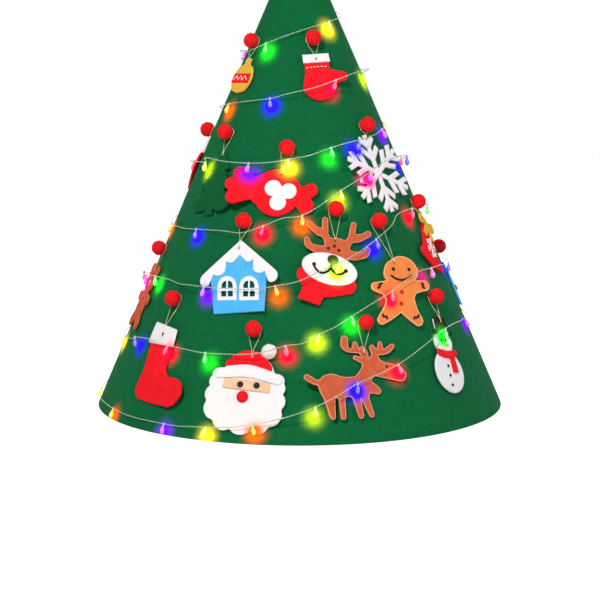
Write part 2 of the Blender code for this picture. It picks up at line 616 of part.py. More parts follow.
def hanging_loop(figure):
    """The gold thread from the ornament's hole, over the neck of the peg and back."""
    neck = POMPOM_RADIUS - GAP
    hole = figure_points(figure, [figure["hole_share"]])[0]
    spread = THREAD_RADIUS + GAP
    side = Vector((-hole.y, hole.x)).normalized() * spread
    route = [(hole.x - side.x, hole.y - side.y, BOARD_MIDDLE)]
    away = atan2(-hole.y, -hole.x)
    for step in range(LOOP_STEPS + 1):
        turn = away + pi / 2 - pi * step / LOOP_STEPS
        route.append((neck * cos(turn), neck * sin(turn), BOARD_MIDDLE))
    route.append((hole.x + side.x, hole.y + side.y, BOARD_MIDDLE))
    return tube("loop", route, THREAD_RADIUS, 0)


def ornament(name, figure):
    """A felt ornament on its loop, with its glued layers; its origin is on the peg's axis."""
    place = figure_seat(figure)
    board = add_object(name, prism(name, figure_points(figure, figure["outline"]), ORNAMENT_STANDOFF,
                                   BOARD_FRONT), figure["finish"])
    board.matrix_world = place
    for outline in figure.get("tabs", ()):
        combine(board, "UNION", prism("tab", figure_points(figure, outline), ORNAMENT_STANDOFF, BOARD_FRONT))
    combine(board, "UNION", hanging_loop(figure))
    backs = {"sewn": ORNAMENT_STANDOFF, "raised": LAYER_BACK, "top": TOP_LAYER_BACK}
    for layer_name, finish, outline, level in figure["layers"]:
        thick = ORNAMENT_FELT if level == "sewn" else LAYER_FELT
        layer = add_object(layer_name, prism(layer_name, figure_points(figure, outline), backs[level],
                                             backs[level] + thick), finish)
        layer.matrix_world = place
    return board


def height_over(figure, point):
    """How high the figure stands over a point in its plane as it swings, or 0 beside it."""
    height = 0
    for share in (-1, -0.5, 0, 0.5, 1):
        turned_point = Matrix.Rotation(radians(figure["swing"] * share), 2) @ point
        for knob, radius, front in figure["knobs"]:
            if (turned_point - knob).length < radius + SWING_MARGIN:
                return front
        for outline, front in figure["fronts"]:
            if front > height and near_outline(outline, turned_point, SWING_MARGIN):
                height = front
    return height


def near_outline(outline, point, margin):
    """Whether a point is inside an outline or within a margin of it."""
    inside = False
    for start, end in zip(outline, outline[1:] + outline[:1]):
        side = end - start
        share = min(max((point - start).dot(side) / side.length_squared, 0), 1)
        if (start + side * share - point).length < margin:
            return True
        if (start.y > point.y) != (end.y > point.y):
            if point.x < start.x + (point.y - start.y) / (end.y - start.y) * side.x:
                inside = not inside
    return inside


def sway(azimuth, turn):
    """The string's height off a plain helix."""
    for index in range(len(SWAY_AZIMUTHS) - 1):
        low, high = SWAY_AZIMUTHS[index], SWAY_AZIMUTHS[index + 1]
        if low <= azimuth <= high:
            share = smoothstep((azimuth - low) / (high - low)) * 0.3 + 0.7 * (azimuth - low) / (high - low)
            value = SWAY_SHARES[index] + (SWAY_SHARES[index + 1] - SWAY_SHARES[index]) * share
    low = min(int(turn + 1), len(SWAY_BY_TURN_SHARES) - 2)
    part = turn + 1 - low
    factor = SWAY_BY_TURN_SHARES[low] * (1 - part) + SWAY_BY_TURN_SHARES[low + 1] * part
    return value * factor * STRING_PITCH


def bend(winding):
    """A small bend of the string off its sway."""
    for (start, low), (end, high) in zip(STRING_BEND_SHARES, STRING_BEND_SHARES[1:]):
        if start <= winding <= end:
            return (low + (high - low) * smoothstep((winding - start) / (end - start))) * STRING_PITCH
    return 0


def plain_height(winding):
    """The string's height at a winding angle, before it makes way for the pegs."""
    turn = (winding - STRING_REFERENCE_AZIMUTH) / 360
    azimuth = (winding + 180) % 360 - 180
    return STRING_START_HEIGHT + STRING_PITCH * turn + sway(azimuth, turn) + bend(winding)


def string_height(winding, figures):
    """The string's height at a winding angle, which grows by 360 with each turn.

    Near a pompom peg it moves up or down, whichever is nearer, and passes beside the peg.
    """
    height = plain_height(winding)
    clear = POMPOM_RADIUS + WIRE_RADIUS + PEG_CLEARANCE
    for figure in figures:
        past = (winding - figure["azimuth"] + 180) % 360 - 180
        across = radians(past) * cone_radius(height)
        if abs(across) > PEG_REACH:
            continue
        along = (plain_height(winding - past) - figure["height_share"] * CONE_HEIGHT) / cos(SLOPE)
        need = max(0, clear - abs(along)) * cos(pi / 2 * across / PEG_REACH) ** 2
        height += (need if along >= 0 else -need) * cos(SLOPE)
    return height


def string_lift(azimuth, height, figures):
    """How far the middle of the wire stands off the cone so that it clears felt and ornaments."""
    lift = felt_lift(azimuth, height)
    for figure in figures:
        place = figure["place_inverse"]
        for drop in (0, BULB_LENGTH / 2, BULB_LENGTH):
            point = place @ on_cone(azimuth, height - drop * cos(SLOPE))
            over = height_over(figure, Vector((point.x, point.y))) if point.z > -ORNAMENT_SIZE / 2 else 0
            if over:
                lift = max(lift, over - point.z)
    return lift + BULB_RADIUS + GAP


def light_winding(winding, figures):
    """A light's place along the string, moved aside where its drop would hang into a peg."""
    height = string_height(winding, figures)
    rise = min(1, 2 * string_lift(winding, height, figures) / POMPOM_HEIGHT)
    reach = POMPOM_RADIUS * sqrt(1 - (1 - rise) ** 2)
    for figure in figures:
        past = (winding - figure["azimuth"] + 180) % 360 - 180
        across = radians(past) * cone_radius(height)
        along = (height - figure["height_share"] * CONE_HEIGHT) / cos(SLOPE)
        beyond = max(0, along - BULB_LENGTH * BULB_SHARES[-1][1], -along)
        if beyond < reach and abs(across) < BULB_RADIUS + sqrt(reach ** 2 - beyond ** 2):
            aside = copysign(POMPOM_RADIUS + BULB_RADIUS + GAP, across)
            winding += degrees(aside - across) / cone_radius(height)
    return winding


def string_route(figures):
    """The wound string's points, and the place and lift of each light."""
    bulbs = sorted(light_winding(360 * turn + azimuth, figures)
                   for turn, row in enumerate(BULB_AZIMUTHS) for azimuth in row)
    windings = [STRING_START_AZIMUTH]
    for winding in bulbs:
        gap = winding - windings[-1]
        radius = cone_radius(string_height(winding, figures))
        pieces = max(1, ceil(radians(gap) * radius / WIRE_STEP))
        start = windings[-1]
        windings += [start + gap * (step + 1) / pieces for step in range(pieces)]
    corners = [Vector((winding, string_height(winding, figures))) for winding in windings]
    fine = [start.lerp(end, step / LIFT_SAMPLES) for start, end in zip(corners, corners[1:])
            for step in range(LIFT_SAMPLES)] + [corners[-1]]
    lifts = [string_lift(winding, height, figures) for winding, height in fine]
    route, lights = [], []
    for index, (winding, height) in enumerate(corners):
        low, high = max(0, (index - 1) * LIFT_SAMPLES), (index + 1) * LIFT_SAMPLES + 1
        step = WIRE_STEP / cone_radius(height)
        sag = cone_radius(height) * (1 - cos(step / 2))
        lift = max(lifts[low:high]) + sag
        route.append(on_cone(winding, height + lift * sin(SLOPE), lift))
        if windings[index] in bulbs:
            lights.append((winding, height, lift))
    return windings, route, lights


def bulb_mesh(lights):
    """All the lights: drops that hang down the slope from the wire."""
    shape = bmesh.new()
    for winding, height, lift in lights:
        frame = seat(winding, height)
        rings = []
        for reach_share, drop_share in BULB_SHARES:
            ring = []
            for step in range(BULB_SIDES):
                turn = 2 * pi * step / BULB_SIDES + pi / 2
                point = Vector((BULB_RADIUS * reach_share * cos(turn), -BULB_LENGTH * drop_share,
                                lift + BULB_RADIUS * reach_share * sin(turn)))
                ring.append(shape.verts.new(frame @ point))
            rings.append(ring)
        for low, high in zip(rings, rings[1:]):
            for step in range(BULB_SIDES):
                after = (step + 1) % BULB_SIDES
                shape.faces.new((low[step], low[after], high[after], high[step]))
        shape.faces.new(rings[0])
        shape.faces.new(rings[-1])
    bmesh.ops.recalc_face_normals(shape, faces=shape.faces)
    mesh = bpy.data.meshes.new("bulbs")
    shape.to_mesh(mesh)
    shape.free()
    return mesh


def least_turn_gap(windings, route):
    """The smallest free distance between two turns of the string."""
    least = CONE_HEIGHT
    for index, start in enumerate(route):
        for other in range(index + 1, len(route)):
            if windings[other] - windings[index] > TURN_APART:
                least = min(least, (route[other] - start).length - 2 * WIRE_RADIUS)
    return least


def light_string(figures):
    """The string: lead, wound wire and lights in one piece."""
    windings, route, lights = string_route(figures)
    print("least gap between turns of the string, metres:", round(least_turn_gap(windings, route), 4))
    print("string length, metres:", round(sum((b - a).length for a, b in zip(route, route[1:])), 3),
          "lights:", len(lights))
    eyelet = eyelet_frame()
    lead = [Vector(point) for point in LEAD_POINTS]
    lead += [eyelet @ Vector((0, 0, depth)) for depth in (-LEAD_STANDOFF, -FELT / 2, FELT)]
    wire = add_object("light_string", tube("light_string", lead + route, WIRE_RADIUS, 1), "clear_wire")
    combine(wire, "UNION", bulb_mesh(lights), solver="MANIFOLD")
    return wire


def eyelet_frame():
    """Where the lead goes through the felt, near the hem at the back."""
    return seat(STRING_START_AZIMUTH - EYELET_BACKSET, EYELET_HEIGHT)


def felt_cone():
    """One sheet of felt rolled into a cone, with its edges overlapping at the back."""
    half = OVERLAP_ANGLE / 2
    start, end = SEAM_AZIMUTH - 360 - half, SEAM_AZIMUTH + half
    stretches = ((start, start + OVERLAP_ANGLE, LAP_COLUMNS),
                 (start + OVERLAP_ANGLE, end - OVERLAP_ANGLE - RAMP_ANGLE, PLAIN_COLUMNS),
                 (end - OVERLAP_ANGLE - RAMP_ANGLE, end - OVERLAP_ANGLE, RAMP_COLUMNS),
                 (end - OVERLAP_ANGLE, end, LAP_COLUMNS))
    angles = [low + (high - low) * step / columns for low, high, columns in stretches for step in range(columns)]
    angles.append(end)
    bend = STRIP_TOP + (TIP_HEIGHT - STRIP_TOP) / FADE_SHARE
    heights = (0.0, STRIP_TOP, bend, TIP_HEIGHT)
    points, faces = [], []
    ramp_start = end - OVERLAP_ANGLE - RAMP_ANGLE
    for angle in angles:
        for height in heights:
            lift = lap_at(height) * smoothstep((angle - ramp_start) / RAMP_ANGLE)
            points.append(on_cone(angle, height, lift))
            points.append(on_cone(angle, height, lift - FELT))
    rows, column = len(heights), 2 * len(heights)
    for index in range(len(angles) - 1):
        here, after = index * column, (index + 1) * column
        for row in range(rows - 1):
            low, high = 2 * row, 2 * row + 2
            faces.append((here + low, after + low, after + high, here + high))
            faces.append((here + high + 1, after + high + 1, after + low + 1, here + low + 1))
        faces.append((here + 1, after + 1, after, here))
        top = column - 2
        faces.append((here + top, after + top, after + top + 1, here + top + 1))
    for edge in (0, (len(angles) - 1) * column):
        faces += [(edge + 2 * row, edge + 2 * row + 2, edge + 2 * row + 3, edge + 2 * row + 1)
                  for row in range(rows - 1)]
    cone = add_object("felt_cone", mesh_from("felt_cone", points, faces), "green_felt")
    depth = FELT + CUT_OVERRUN
    bore = turned("eyelet", [(0, -depth), (EYELET_RADIUS, -depth), (EYELET_RADIUS, depth), (0, depth)],
                  BORE_SIDES)
    combine(cone, "DIFFERENCE", bore, eyelet_frame() @ Matrix.Translation((0, 0, -FELT / 2)))
    return cone


def strip(name, low_lift):
    """One half of the fastening, a flat tape that follows the cone along the overlap."""
    points, faces = [], []
    for row in range(STRIP_ROWS):
        height = STRIP_FOOT + (STRIP_TOP - STRIP_FOOT) * row / (STRIP_ROWS - 1)
        half = degrees(STRIP_WIDTH / 2 / cone_radius(height))
        for lift in (low_lift, low_lift + STRIP_THICK):
            for column in range(STRIP_COLUMNS + 1):
                angle = SEAM_AZIMUTH - half + 2 * half * column / STRIP_COLUMNS
                points.append(on_cone(angle, height, lift))
    wide = STRIP_COLUMNS + 1
    level = 2 * wide
    for row in range(STRIP_ROWS - 1):
        here, after = row * level, (row + 1) * level
        for column in range(STRIP_COLUMNS):
            for side in (0, wide):
                faces.append((here + side + column, here + side + column + 1,
                              after + side + column + 1, after + side + column))
        for column in (0, STRIP_COLUMNS):
            faces.append((here + column, here + wide + column, after + wide + column, after + column))
    for edge in (0, (STRIP_ROWS - 1) * level):
        faces.append(tuple(range(edge, edge + wide)) + tuple(range(edge + level - 1, edge + wide - 1, -1)))
    return add_object(name, mesh_from(name, points, faces), "strip_black")


def battery_case():
    """The case on the table inside the cone, open on top, with a slot for its switch."""
    half_length, half_width = CASE_LENGTH / 2, CASE_WIDTH / 2
    body = add_object("battery_case", box("battery_case", (-half_length, -half_width, 0),
                                          (half_length, half_width, CASE_HEIGHT)), "battery_case")
    body.location = (0, CASE_CENTRE_Y, GAP)
    bpy.context.view_layer.update()
    combine(body, "DIFFERENCE", box("well", (-half_length + CASE_WALL, -half_width + CASE_WALL, CASE_WALL),
                                    (half_length - CASE_WALL, half_width - CASE_WALL,
                                     CASE_HEIGHT + CUT_OVERRUN)))
    mouth = CASE_HEIGHT - COVER_TONGUE - GAP
    combine(body, "DIFFERENCE", box("mouth", (half_length - CASE_WALL - CUT_OVERRUN, -half_width + CASE_WALL, mouth),
                                    (half_length + CUT_OVERRUN, half_width - CASE_WALL, CASE_HEIGHT + CUT_OVERRUN)))
    slot_half = SWITCH_LENGTH / 2 + SWITCH_TRAVEL / 2 + GAP
    middle = CASE_HEIGHT / 2
    combine(body, "DIFFERENCE", box("slot", (-slot_half, -half_width - CUT_OVERRUN, middle - SWITCH_WIDTH / 2 - GAP),
                                    (slot_half, -half_width + CASE_WALL + CUT_OVERRUN,
                                     middle + SWITCH_WIDTH / 2 + GAP)))
    return body


def battery_cells():
    """Two cells side by side in the case."""
    for number, side in ((1, -1), (2, 1)):
        shoulder = CELL_LENGTH - CELL_NUB_LENGTH
        profile = [(0, 0), (CELL_RADIUS, 0), (CELL_RADIUS, shoulder), (CELL_NUB_RADIUS, shoulder),
                   (CELL_NUB_RADIUS, CELL_LENGTH), (0, CELL_LENGTH)]
        name = "battery_cell_%d" % number
        cell = add_object(name, turned(name, profile, CELL_SIDES), "battery_cell")
        cell.rotation_euler = (0, pi / 2, 0) if side > 0 else (0, -pi / 2, 0)
        cell.location = (-side * CELL_LENGTH / 2, CASE_CENTRE_Y + side * (CELL_RADIUS + GAP),
                         GAP + CASE_WALL + GAP + CELL_RADIUS)


def battery_cover():
    """The cover, which slides along the top of the case."""
    low = GAP + CASE_HEIGHT + GAP
    cover = add_object("battery_cover", box("battery_cover", (-CASE_LENGTH / 2, -CASE_WIDTH / 2, 0),
                                            (CASE_LENGTH / 2, CASE_WIDTH / 2, COVER_THICK)), "battery_case")
    cover.location = (0, CASE_CENTRE_Y, low)
    bpy.context.view_layer.update()
    tongue = CASE_WIDTH / 2 - CASE_WALL - GAP
    combine(cover, "UNION", box("tongue", (-CASE_LENGTH / 2 + CASE_WALL + GAP, -tongue, -COVER_TONGUE),
                                (CASE_LENGTH / 2, tongue, COVER_THICK / 2)))
    return cover


def switch_slider():
    """The small slider in the case's front wall."""
    wall = CASE_CENTRE_Y - CASE_WIDTH / 2
    middle = GAP + CASE_HEIGHT / 2
    slider = add_object("switch_slider", box("switch_slider", (-SWITCH_LENGTH / 2, -SWITCH_PROUD, -SWITCH_WIDTH / 2),
                                             (SWITCH_LENGTH / 2, CASE_WALL, SWITCH_WIDTH / 2)), "switch_black")
    slider.location = (-SWITCH_TRAVEL / 2, wall, middle)
    return slider


def tree_star():
    """The star, whose felt sleeve sits over the tip of the cone."""
    foot = TIP_HEIGHT - SLEEVE_HEIGHT * SLEEVE_LAP_SHARE
    inner_lift, outer_lift = PLAIN_LAP + GAP, PLAIN_LAP + GAP + SLEEVE_FELT
    ceiling = TIP_HEIGHT + GAP
    crown = CONE_HEIGHT + outer_lift / sin(SLOPE)
    profile = [(0, ceiling), (cone_radius(ceiling, inner_lift), ceiling), (cone_radius(foot, inner_lift), foot),
               (cone_radius(foot, outer_lift), foot), (SLEEVE_FELT, crown - SLEEVE_FELT / tan(SLOPE)), (0, crown)]
    cap = add_object("tree_star", turned("tree_star", profile, CAP_SIDES), "gold_felt")
    outline = star(0, 0, STAR_RADIUS, STAR_RADIUS * STAR_INNER_SHARE)
    rise = crown - STAR_SEAT + STAR_RADIUS * STAR_INNER_SHARE
    rim = [(x, -STAR_RIM_THICK / 2, y + rise) for x, y in outline]
    back_rim = [(x, STAR_RIM_THICK / 2, y + rise) for x, y in outline]
    count = len(outline)
    points = rim + back_rim + [(0, -STAR_THICK / 2, rise), (0, STAR_THICK / 2, rise)]
    faces = []
    for step in range(count):
        after = (step + 1) % count
        faces.append((step, after, 2 * count))
        faces.append((count + after, count + step, 2 * count + 1))
        faces.append((after, step, count + step, count + after))
    combine(cap, "UNION", mesh_from("star", points, faces), Matrix.Identity(4))
    return cap


def build():
    """Every piece of the tree."""
    for old in list(bpy.data.objects):
        bpy.data.objects.remove(old)
    felt_cone()
    strip("loop_strip", GAP)
    strip("hook_strip", 2 * GAP + STRIP_THICK)
    for name, figure in ORNAMENTS.items():
        place = figure_seat(figure)
        pompom(name + "_peg", place, POMPOM_RADIUS, GAP, POMPOM_HEIGHT, "red_felt")
        ornament(name, figure)
        figure["place_inverse"] = place.inverted()
        fronts = {"sewn": BOARD_FRONT, "raised": LAYER_FRONT, "top": TOP_LAYER_BACK + LAYER_FELT}
        figure["fronts"] = [(figure_points(figure, figure["outline"]), BOARD_FRONT)]
        figure["fronts"] += [(figure_points(figure, layer[2]), fronts[layer[3]]) for layer in figure["layers"]]
        figure["knobs"] = []
    santa = ORNAMENTS["santa"]
    hat_place = figure_points(santa, [SANTA_POMPOM_PLACE_SHARES])[0]
    pompom("santa_pompom", figure_seat(santa) @ Matrix.Translation((hat_place.x, hat_place.y, 0)),
           HAT_POMPOM_RADIUS, LAYER_BACK, HAT_POMPOM_HEIGHT, "white_felt")
    santa["knobs"] = [(hat_place, HAT_POMPOM_RADIUS, LAYER_BACK + HAT_POMPOM_HEIGHT)]
    light_string(list(ORNAMENTS.values()))
    battery_case()
    battery_cells()
    battery_cover()
    switch_slider()
    tree_star()


build()
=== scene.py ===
import json
import random
from math import asin, atan, ceil, cos, hypot, pi, radians, sin

import bpy
import numpy as np
from mathutils import Matrix, Vector, noise
from mathutils.geometry import delaunay_2d_cdt

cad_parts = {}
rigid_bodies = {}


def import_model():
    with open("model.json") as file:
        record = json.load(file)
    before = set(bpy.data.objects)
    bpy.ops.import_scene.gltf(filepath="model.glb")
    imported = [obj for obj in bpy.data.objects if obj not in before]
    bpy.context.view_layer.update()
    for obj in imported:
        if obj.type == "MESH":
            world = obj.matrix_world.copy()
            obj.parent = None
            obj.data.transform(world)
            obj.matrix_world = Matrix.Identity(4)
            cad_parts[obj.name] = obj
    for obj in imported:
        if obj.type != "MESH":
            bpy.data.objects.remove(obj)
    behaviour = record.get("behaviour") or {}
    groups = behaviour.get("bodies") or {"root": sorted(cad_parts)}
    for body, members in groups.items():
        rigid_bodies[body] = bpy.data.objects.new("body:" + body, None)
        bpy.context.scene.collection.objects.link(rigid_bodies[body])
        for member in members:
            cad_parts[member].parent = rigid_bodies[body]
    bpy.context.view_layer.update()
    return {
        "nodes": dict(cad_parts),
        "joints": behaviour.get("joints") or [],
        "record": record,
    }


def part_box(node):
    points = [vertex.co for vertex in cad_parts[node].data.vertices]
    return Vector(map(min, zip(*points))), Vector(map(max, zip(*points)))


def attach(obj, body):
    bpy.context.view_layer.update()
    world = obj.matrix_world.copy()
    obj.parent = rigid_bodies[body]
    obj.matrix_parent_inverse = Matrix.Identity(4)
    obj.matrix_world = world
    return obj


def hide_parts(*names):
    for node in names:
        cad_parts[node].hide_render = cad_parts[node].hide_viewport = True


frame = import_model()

MM = 0.001

# The felt cone, in metres
CONE_HEIGHT = 0.600
BASE_RADIUS = 0.260
FELT = 0.003
TIP_HEIGHT = 0.572
OVERLAP_ANGLE = 12.0
RAMP_ANGLE = 30.0
SEAM_AZIMUTH = 180.0
STRIP_TOP = 0.380
STRIP_LAP = 0.0063
PLAIN_LAP = 0.0036
SLOPE = atan(BASE_RADIUS / CONE_HEIGHT)

# Heights off the cone, in millimetres: the felt figures, and the felt glued on them
BOARD_BACK, BOARD_FRONT = 0.5, 3.5
LAYER_BACK, LAYER_FRONT = 3.8, 5.6
HAT_POMPOM_RADIUS, HAT_POMPOM_HEIGHT = 9.5, 9.0
POMPOM_RADIUS = 10.0
POMPOM_MIDDLE = 8.9
PEG_NECK = 7.4
THREAD = 0.33

# The string of lights, in metres
WIRE_RADIUS = 0.0009
BULB_RADIUS = 0.0028
BULB_LENGTH = 0.0125
WIRE_STEP = 0.028
STRING_START_HEIGHT = 0.0215
STRING_PITCH = 0.0735
STRING_START_AZIMUTH = -166.0
STRING_REFERENCE_AZIMUTH = -15.0
EYELET_HEIGHT = 0.0235
EYELET_BACKSET = 6.0
LEAD_STANDOFF = 0.012
SWING_MARGIN = 0.004
PEG_CLEARANCE = 0.0045
PEG_REACH = 0.050
GAP = 0.0003
LIFT_SAMPLES = 4
# A figure farther than this from a point of the cone is on its other side
BEHIND = 0.050
LEAD_POINTS = [(-0.012, 0.1863, 0.0080), (-0.012, 0.1905, 0.0080), (-0.018, 0.2010, 0.0090),
               (-0.036, 0.2160, 0.0130), (-0.050, 0.2290, 0.0200)]

# Each turn of the string, from the hem up: the lights' azimuths and colours
LIGHTS = [
    {-140: "blue", -112: "red", -88: "lime", -62: "orange", -38: "purple", -24: "yellow", -12: "orange",
     4: "lime", 16: "blue", 29: "red", 52: "green", 76: "purple", 100: "yellow", 124: "red", 148: "blue",
     172: "lime"},
    {-161: "orange", -134: "purple", -107: "green", -80: "yellow", -62: "blue", -43: "red", -28: "green",
     -4: "red", 6: "lime", 16.5: "green", 33: "red", 54: "magenta", 82: "blue", 110: "orange", 136: "lime",
     163: "red"},
    {-168: "green", -140: "yellow", -110: "blue", -90: "red", -78: "magenta", -65: "green", -34: "purple",
     -8: "orange", 14: "lime", 31: "blue", 59: "red", 86: "green", 116: "purple", 147: "orange",
     177: "yellow"},
    {-150: "red", -116: "lime", -80: "orange", -50: "blue", -15: "red", 1: "orange", 18: "lime",
     37: "magenta", 72: "blue", 108: "red", 144: "green", 180: "purple"},
    {-140: "blue", -98: "red", -59: "lime", -24: "purple", -6: "yellow", 16: "green", 34: "blue",
     65: "purple", 105: "orange", 148: "red"},
    {-165: "yellow", -112: "green", -62: "orange", -22: "blue", 26: "red", 72: "lime", 122: "purple"},
    {-176: "red", -105: "purple", -35: "green", 40: "yellow", 120: "blue"},
]
SWAY_AZIMUTHS = (-180, -150, -120, -90, -75, -45, -30, -15, 0, 10, 20, 30, 40, 50, 60, 90, 120, 150, 180)
SWAY_SHARES = (0.44, 0.33, 0.22, 0.12, 0.08, 0.04, 0, 0, 0.08, 0.245, 0.42, 0.60, 0.76, 0.88, 0.91, 0.84,
               0.71, 0.57, 0.44)
SWAY_BY_TURN_SHARES = (1.1, 1.2, 1.0, 1.0, 0.95, 0.3, 0.2, 0.1, 0.1)
# Small bends off the sway: pairs of a winding angle and a share of the pitch
STRING_BEND_SHARES = (
    (-100, 0), (-75, -0.05), (-46, -0.10), (-22, -0.085), (-9, -0.045), (3, 0), (18, 0.06), (29, -0.02),
    (60, 0), (280, 0), (306, 0.10), (320, 0.04), (335, -0.01), (348, -0.03), (364, 0.065), (378, 0.08),
    (390, 0.11), (405, 0.12), (418, 0.05), (450, 0), (600, 0), (625, 0), (661, 0.07), (678, -0.01),
    (692, -0.015), (714, -0.06), (727, -0.03), (742, -0.045), (756, 0.01), (780, 0.06), (810, 0), (980, 0),
    (1000, -0.06), (1021, -0.10), (1040, -0.10), (1052, 0), (1068, 0.02), (1078, -0.04), (1091, -0.03),
    (1100, 0), (1377, 0.01), (1392, -0.04), (1406, -0.11), (1414, -0.12), (1433, -0.02), (1442, -0.03),
    (1459, -0.07), (1490, 0))

# Each figure's middle off its peg, its lean clockwise and its hanging hole, in millimetres and degrees
FIGURES = {
    "candy": ((-10, -54), 11, (0, 22)), "snowflake": ((0, -61), -5, (0, 44)),
    "house": ((-2, -24), -7, (0, -9)), "reindeer": ((-2, -43), 12, (-3, 5)),
    "gingerbread": ((17, -62), 9, (-7.5, 9.5)), "santa": ((-3, -78), 4, (1, 46)),
    "stocking": ((0, -44), 0, (-1, 0)), "deer": ((-46, -74), 3, (37, 40)),
    "snowman": ((-4, -26), 12, (0, -6)), "bell": ((24, -10), 34, (0, -25)),
    "bear": ((0, 0), 0, (0, -29)), "mini_tree": ((0, 0), -6, (0, -29)),
    "mitten": ((0, 0), -4, (0, -26)), "bauble": ((0, 0), 0, (0, -26)),
    "star_cookie": ((0, 0), 5, (0, -27)), "gift": ((0, 0), 0, (0, -31)),
    "heart": ((0, 0), 0, (0, -40)), "candy_cane": ((0, 0), 6, (-5, -25)),
}

# The glow of a light painted on the felt: its spread in metres, its weight at the light, and its brightness
GLOW_SPREAD, GLOW_WEIGHT, GLOW_STRENGTH = 0.0064, 2.0, 0.32
# Black felt takes up most of the light that falls on it, so less of the painted glow shows on it
BLACK_SHARE = 0.12


# Materials


def linear(code, alpha=1.0):
    """A hex sRGB colour as linear values."""
    parts = [int(code[index:index + 2], 16) / 255 for index in (1, 3, 5)]
    return tuple(part / 12.92 if part <= 0.04045 else ((part + 0.055) / 1.055) ** 2.4
                 for part in parts) + (alpha,)


def add(tree, kind, inputs=None, **settings):
    """Adds a node with its settings, values and links."""
    node = tree.nodes.new(kind)
    for name, value in settings.items():
        setattr(node, name, value)
    for socket, value in (inputs or {}).items():
        if isinstance(value, bpy.types.NodeSocket):
            tree.links.new(value, node.inputs[socket])
        else:
            node.inputs[socket].default_value = value
    return node


def new_material(name):
    """An empty material, its node tree and its output node."""
    made = bpy.data.materials.new(name)
    made.use_nodes = True
    made.node_tree.nodes.clear()
    return made, made.node_tree, add(made.node_tree, "ShaderNodeOutputMaterial")


def noisy(tree, place, spacing, detail, roughness, distortion=0.0):
    """Noise of a given spacing, in millimetres."""
    return add(tree, "ShaderNodeTexNoise", {"Vector": place, "Scale": 1 / (spacing * MM), "Detail": detail,
                                            "Roughness": roughness, "Distortion": distortion})


def ranged(tree, value, low, high, to_low=0.0, to_high=1.0):
    """A value stretched from one range to another."""
    return add(tree, "ShaderNodeMapRange", {"Value": value, "From Min": low, "From Max": high,
                                            "To Min": to_low, "To Max": to_high}).outputs[0]


def mixed(tree, share, one, other):
    """One colour with a share of another in it."""
    return add(tree, "ShaderNodeMix", {0: share, 6: one, 7: other}, data_type="RGBA").outputs[2]


def bumped(tree, height, strength, depth, **below):
    """A relief of a depth in millimetres, laid over a Normal if one is given."""
    return add(tree, "ShaderNodeBump", {"Height": height, "Strength": strength, "Distance": depth * MM,
                                        **below}).outputs["Normal"]


def felt(name, base, pale, deep, fibre=0.9):
    """Needle-punched craft felt: tangled fibres with no weave, a cloudy dye and a soft, hairy sheen."""
    made, tree, output = new_material(name)
    place = add(tree, "ShaderNodeTexCoord").outputs["Object"]
    # Polyester fibres are 0.02 mm thick; they are drawn as tangles about 0.9 mm apart, so that they show
    tangle = noisy(tree, place, fibre, 5.0, 0.72, 2.6)
    # The dye takes unevenly over clumps of about 7 mm
    cloud = noisy(tree, place, 7, 3.0, 0.6)
    # Stray fibres lie on the surface as short pale hairs, about 3 mm apart
    stray = add(tree, "ShaderNodeVectorMath", {0: tangle.outputs["Color"], 1: (0.0016, 0.0016, 0.0016)},
                operation="MULTIPLY")
    strayed = add(tree, "ShaderNodeVectorMath", {0: place, 1: stray.outputs[0]}, operation="ADD")
    hairs = add(tree, "ShaderNodeTexVoronoi", {"Vector": strayed.outputs[0], "Scale": 1 / (3.2 * MM),
                                               "Randomness": 1.0}, feature="DISTANCE_TO_EDGE")
    hair_mask = ranged(tree, hairs.outputs["Distance"], 0.0, 0.07, 0.32, 0.0)
    deep_mask = ranged(tree, tangle.outputs["Fac"], 0.38, 0.56, 0.75, 0.0)
    pale_mask = ranged(tree, cloud.outputs["Fac"], 0.42, 0.66, 0.0, 0.55)
    dyed = mixed(tree, pale_mask, linear(base), linear(pale))
    worn = mixed(tree, deep_mask, dyed, linear(deep))
    haired = mixed(tree, hair_mask, worn, linear(pale))
    # The lights' glow is painted on the felt round them: their colour is mixed into the felt's and added as a
    # faint emission, and each mesh carries it at its points
    glow = add(tree, "ShaderNodeAttribute", attribute_name="glow").outputs["Color"]
    share = add(tree, "ShaderNodeAttribute", attribute_name="glow_share").outputs["Fac"]
    painted_glow_colour = mixed(tree, share, haired, glow)
    shine = add(tree, "ShaderNodeMath", {0: share, 1: GLOW_STRENGTH}, operation="MULTIPLY")
    sheen = ranged(tree, share, 0.0, 1.0, 0.15, 0.0)
    bump = bumped(tree, tangle.outputs["Fac"], 0.55, 0.5)
    shader = add(tree, "ShaderNodeBsdfPrincipled", {
        "Base Color": painted_glow_colour, "Roughness": 0.95, "IOR": 1.5, "Specular IOR Level": 0.15,
        "Emission Color": glow, "Emission Strength": shine.outputs[0],
        "Sheen Weight": sheen, "Sheen Roughness": 0.6, "Sheen Tint": linear(pale),
        "Normal": bumped(tree, cloud.outputs["Fac"], 0.35, 1.2, Normal=bump)})
    tree.links.new(shader.outputs[0], output.inputs["Surface"])
    return made


def yarn(name, base, pale, deep):
    """Fluffy acrylic yarn, cut into a pompom: pale and deep tones mixed by noise, a painted highlight on the
    strand tips over a core in painted shade.
    """
    made, tree, output = new_material(name)
    place = add(tree, "ShaderNodeTexCoord").outputs["Object"]
    # Yarn ends about 1.4 mm apart
    ends = noisy(tree, place, 1.4, 4.0, 0.65, 0.8).outputs["Fac"]
    mix = mixed(tree, ranged(tree, ends, 0.36, 0.66), linear(deep), linear(pale))
    shader = add(tree, "ShaderNodeBsdfPrincipled", {
        "Base Color": mixed(tree, 0.6, linear(base), mix), "Roughness": 0.9, "IOR": 1.5,
        "Specular IOR Level": 0.2, "Sheen Weight": 0.4, "Sheen Roughness": 0.5, "Sheen Tint": linear(pale),
        "Normal": bumped(tree, ends, 0.8, 0.8)})
    tree.links.new(shader.outputs[0], output.inputs["Surface"])
    return made


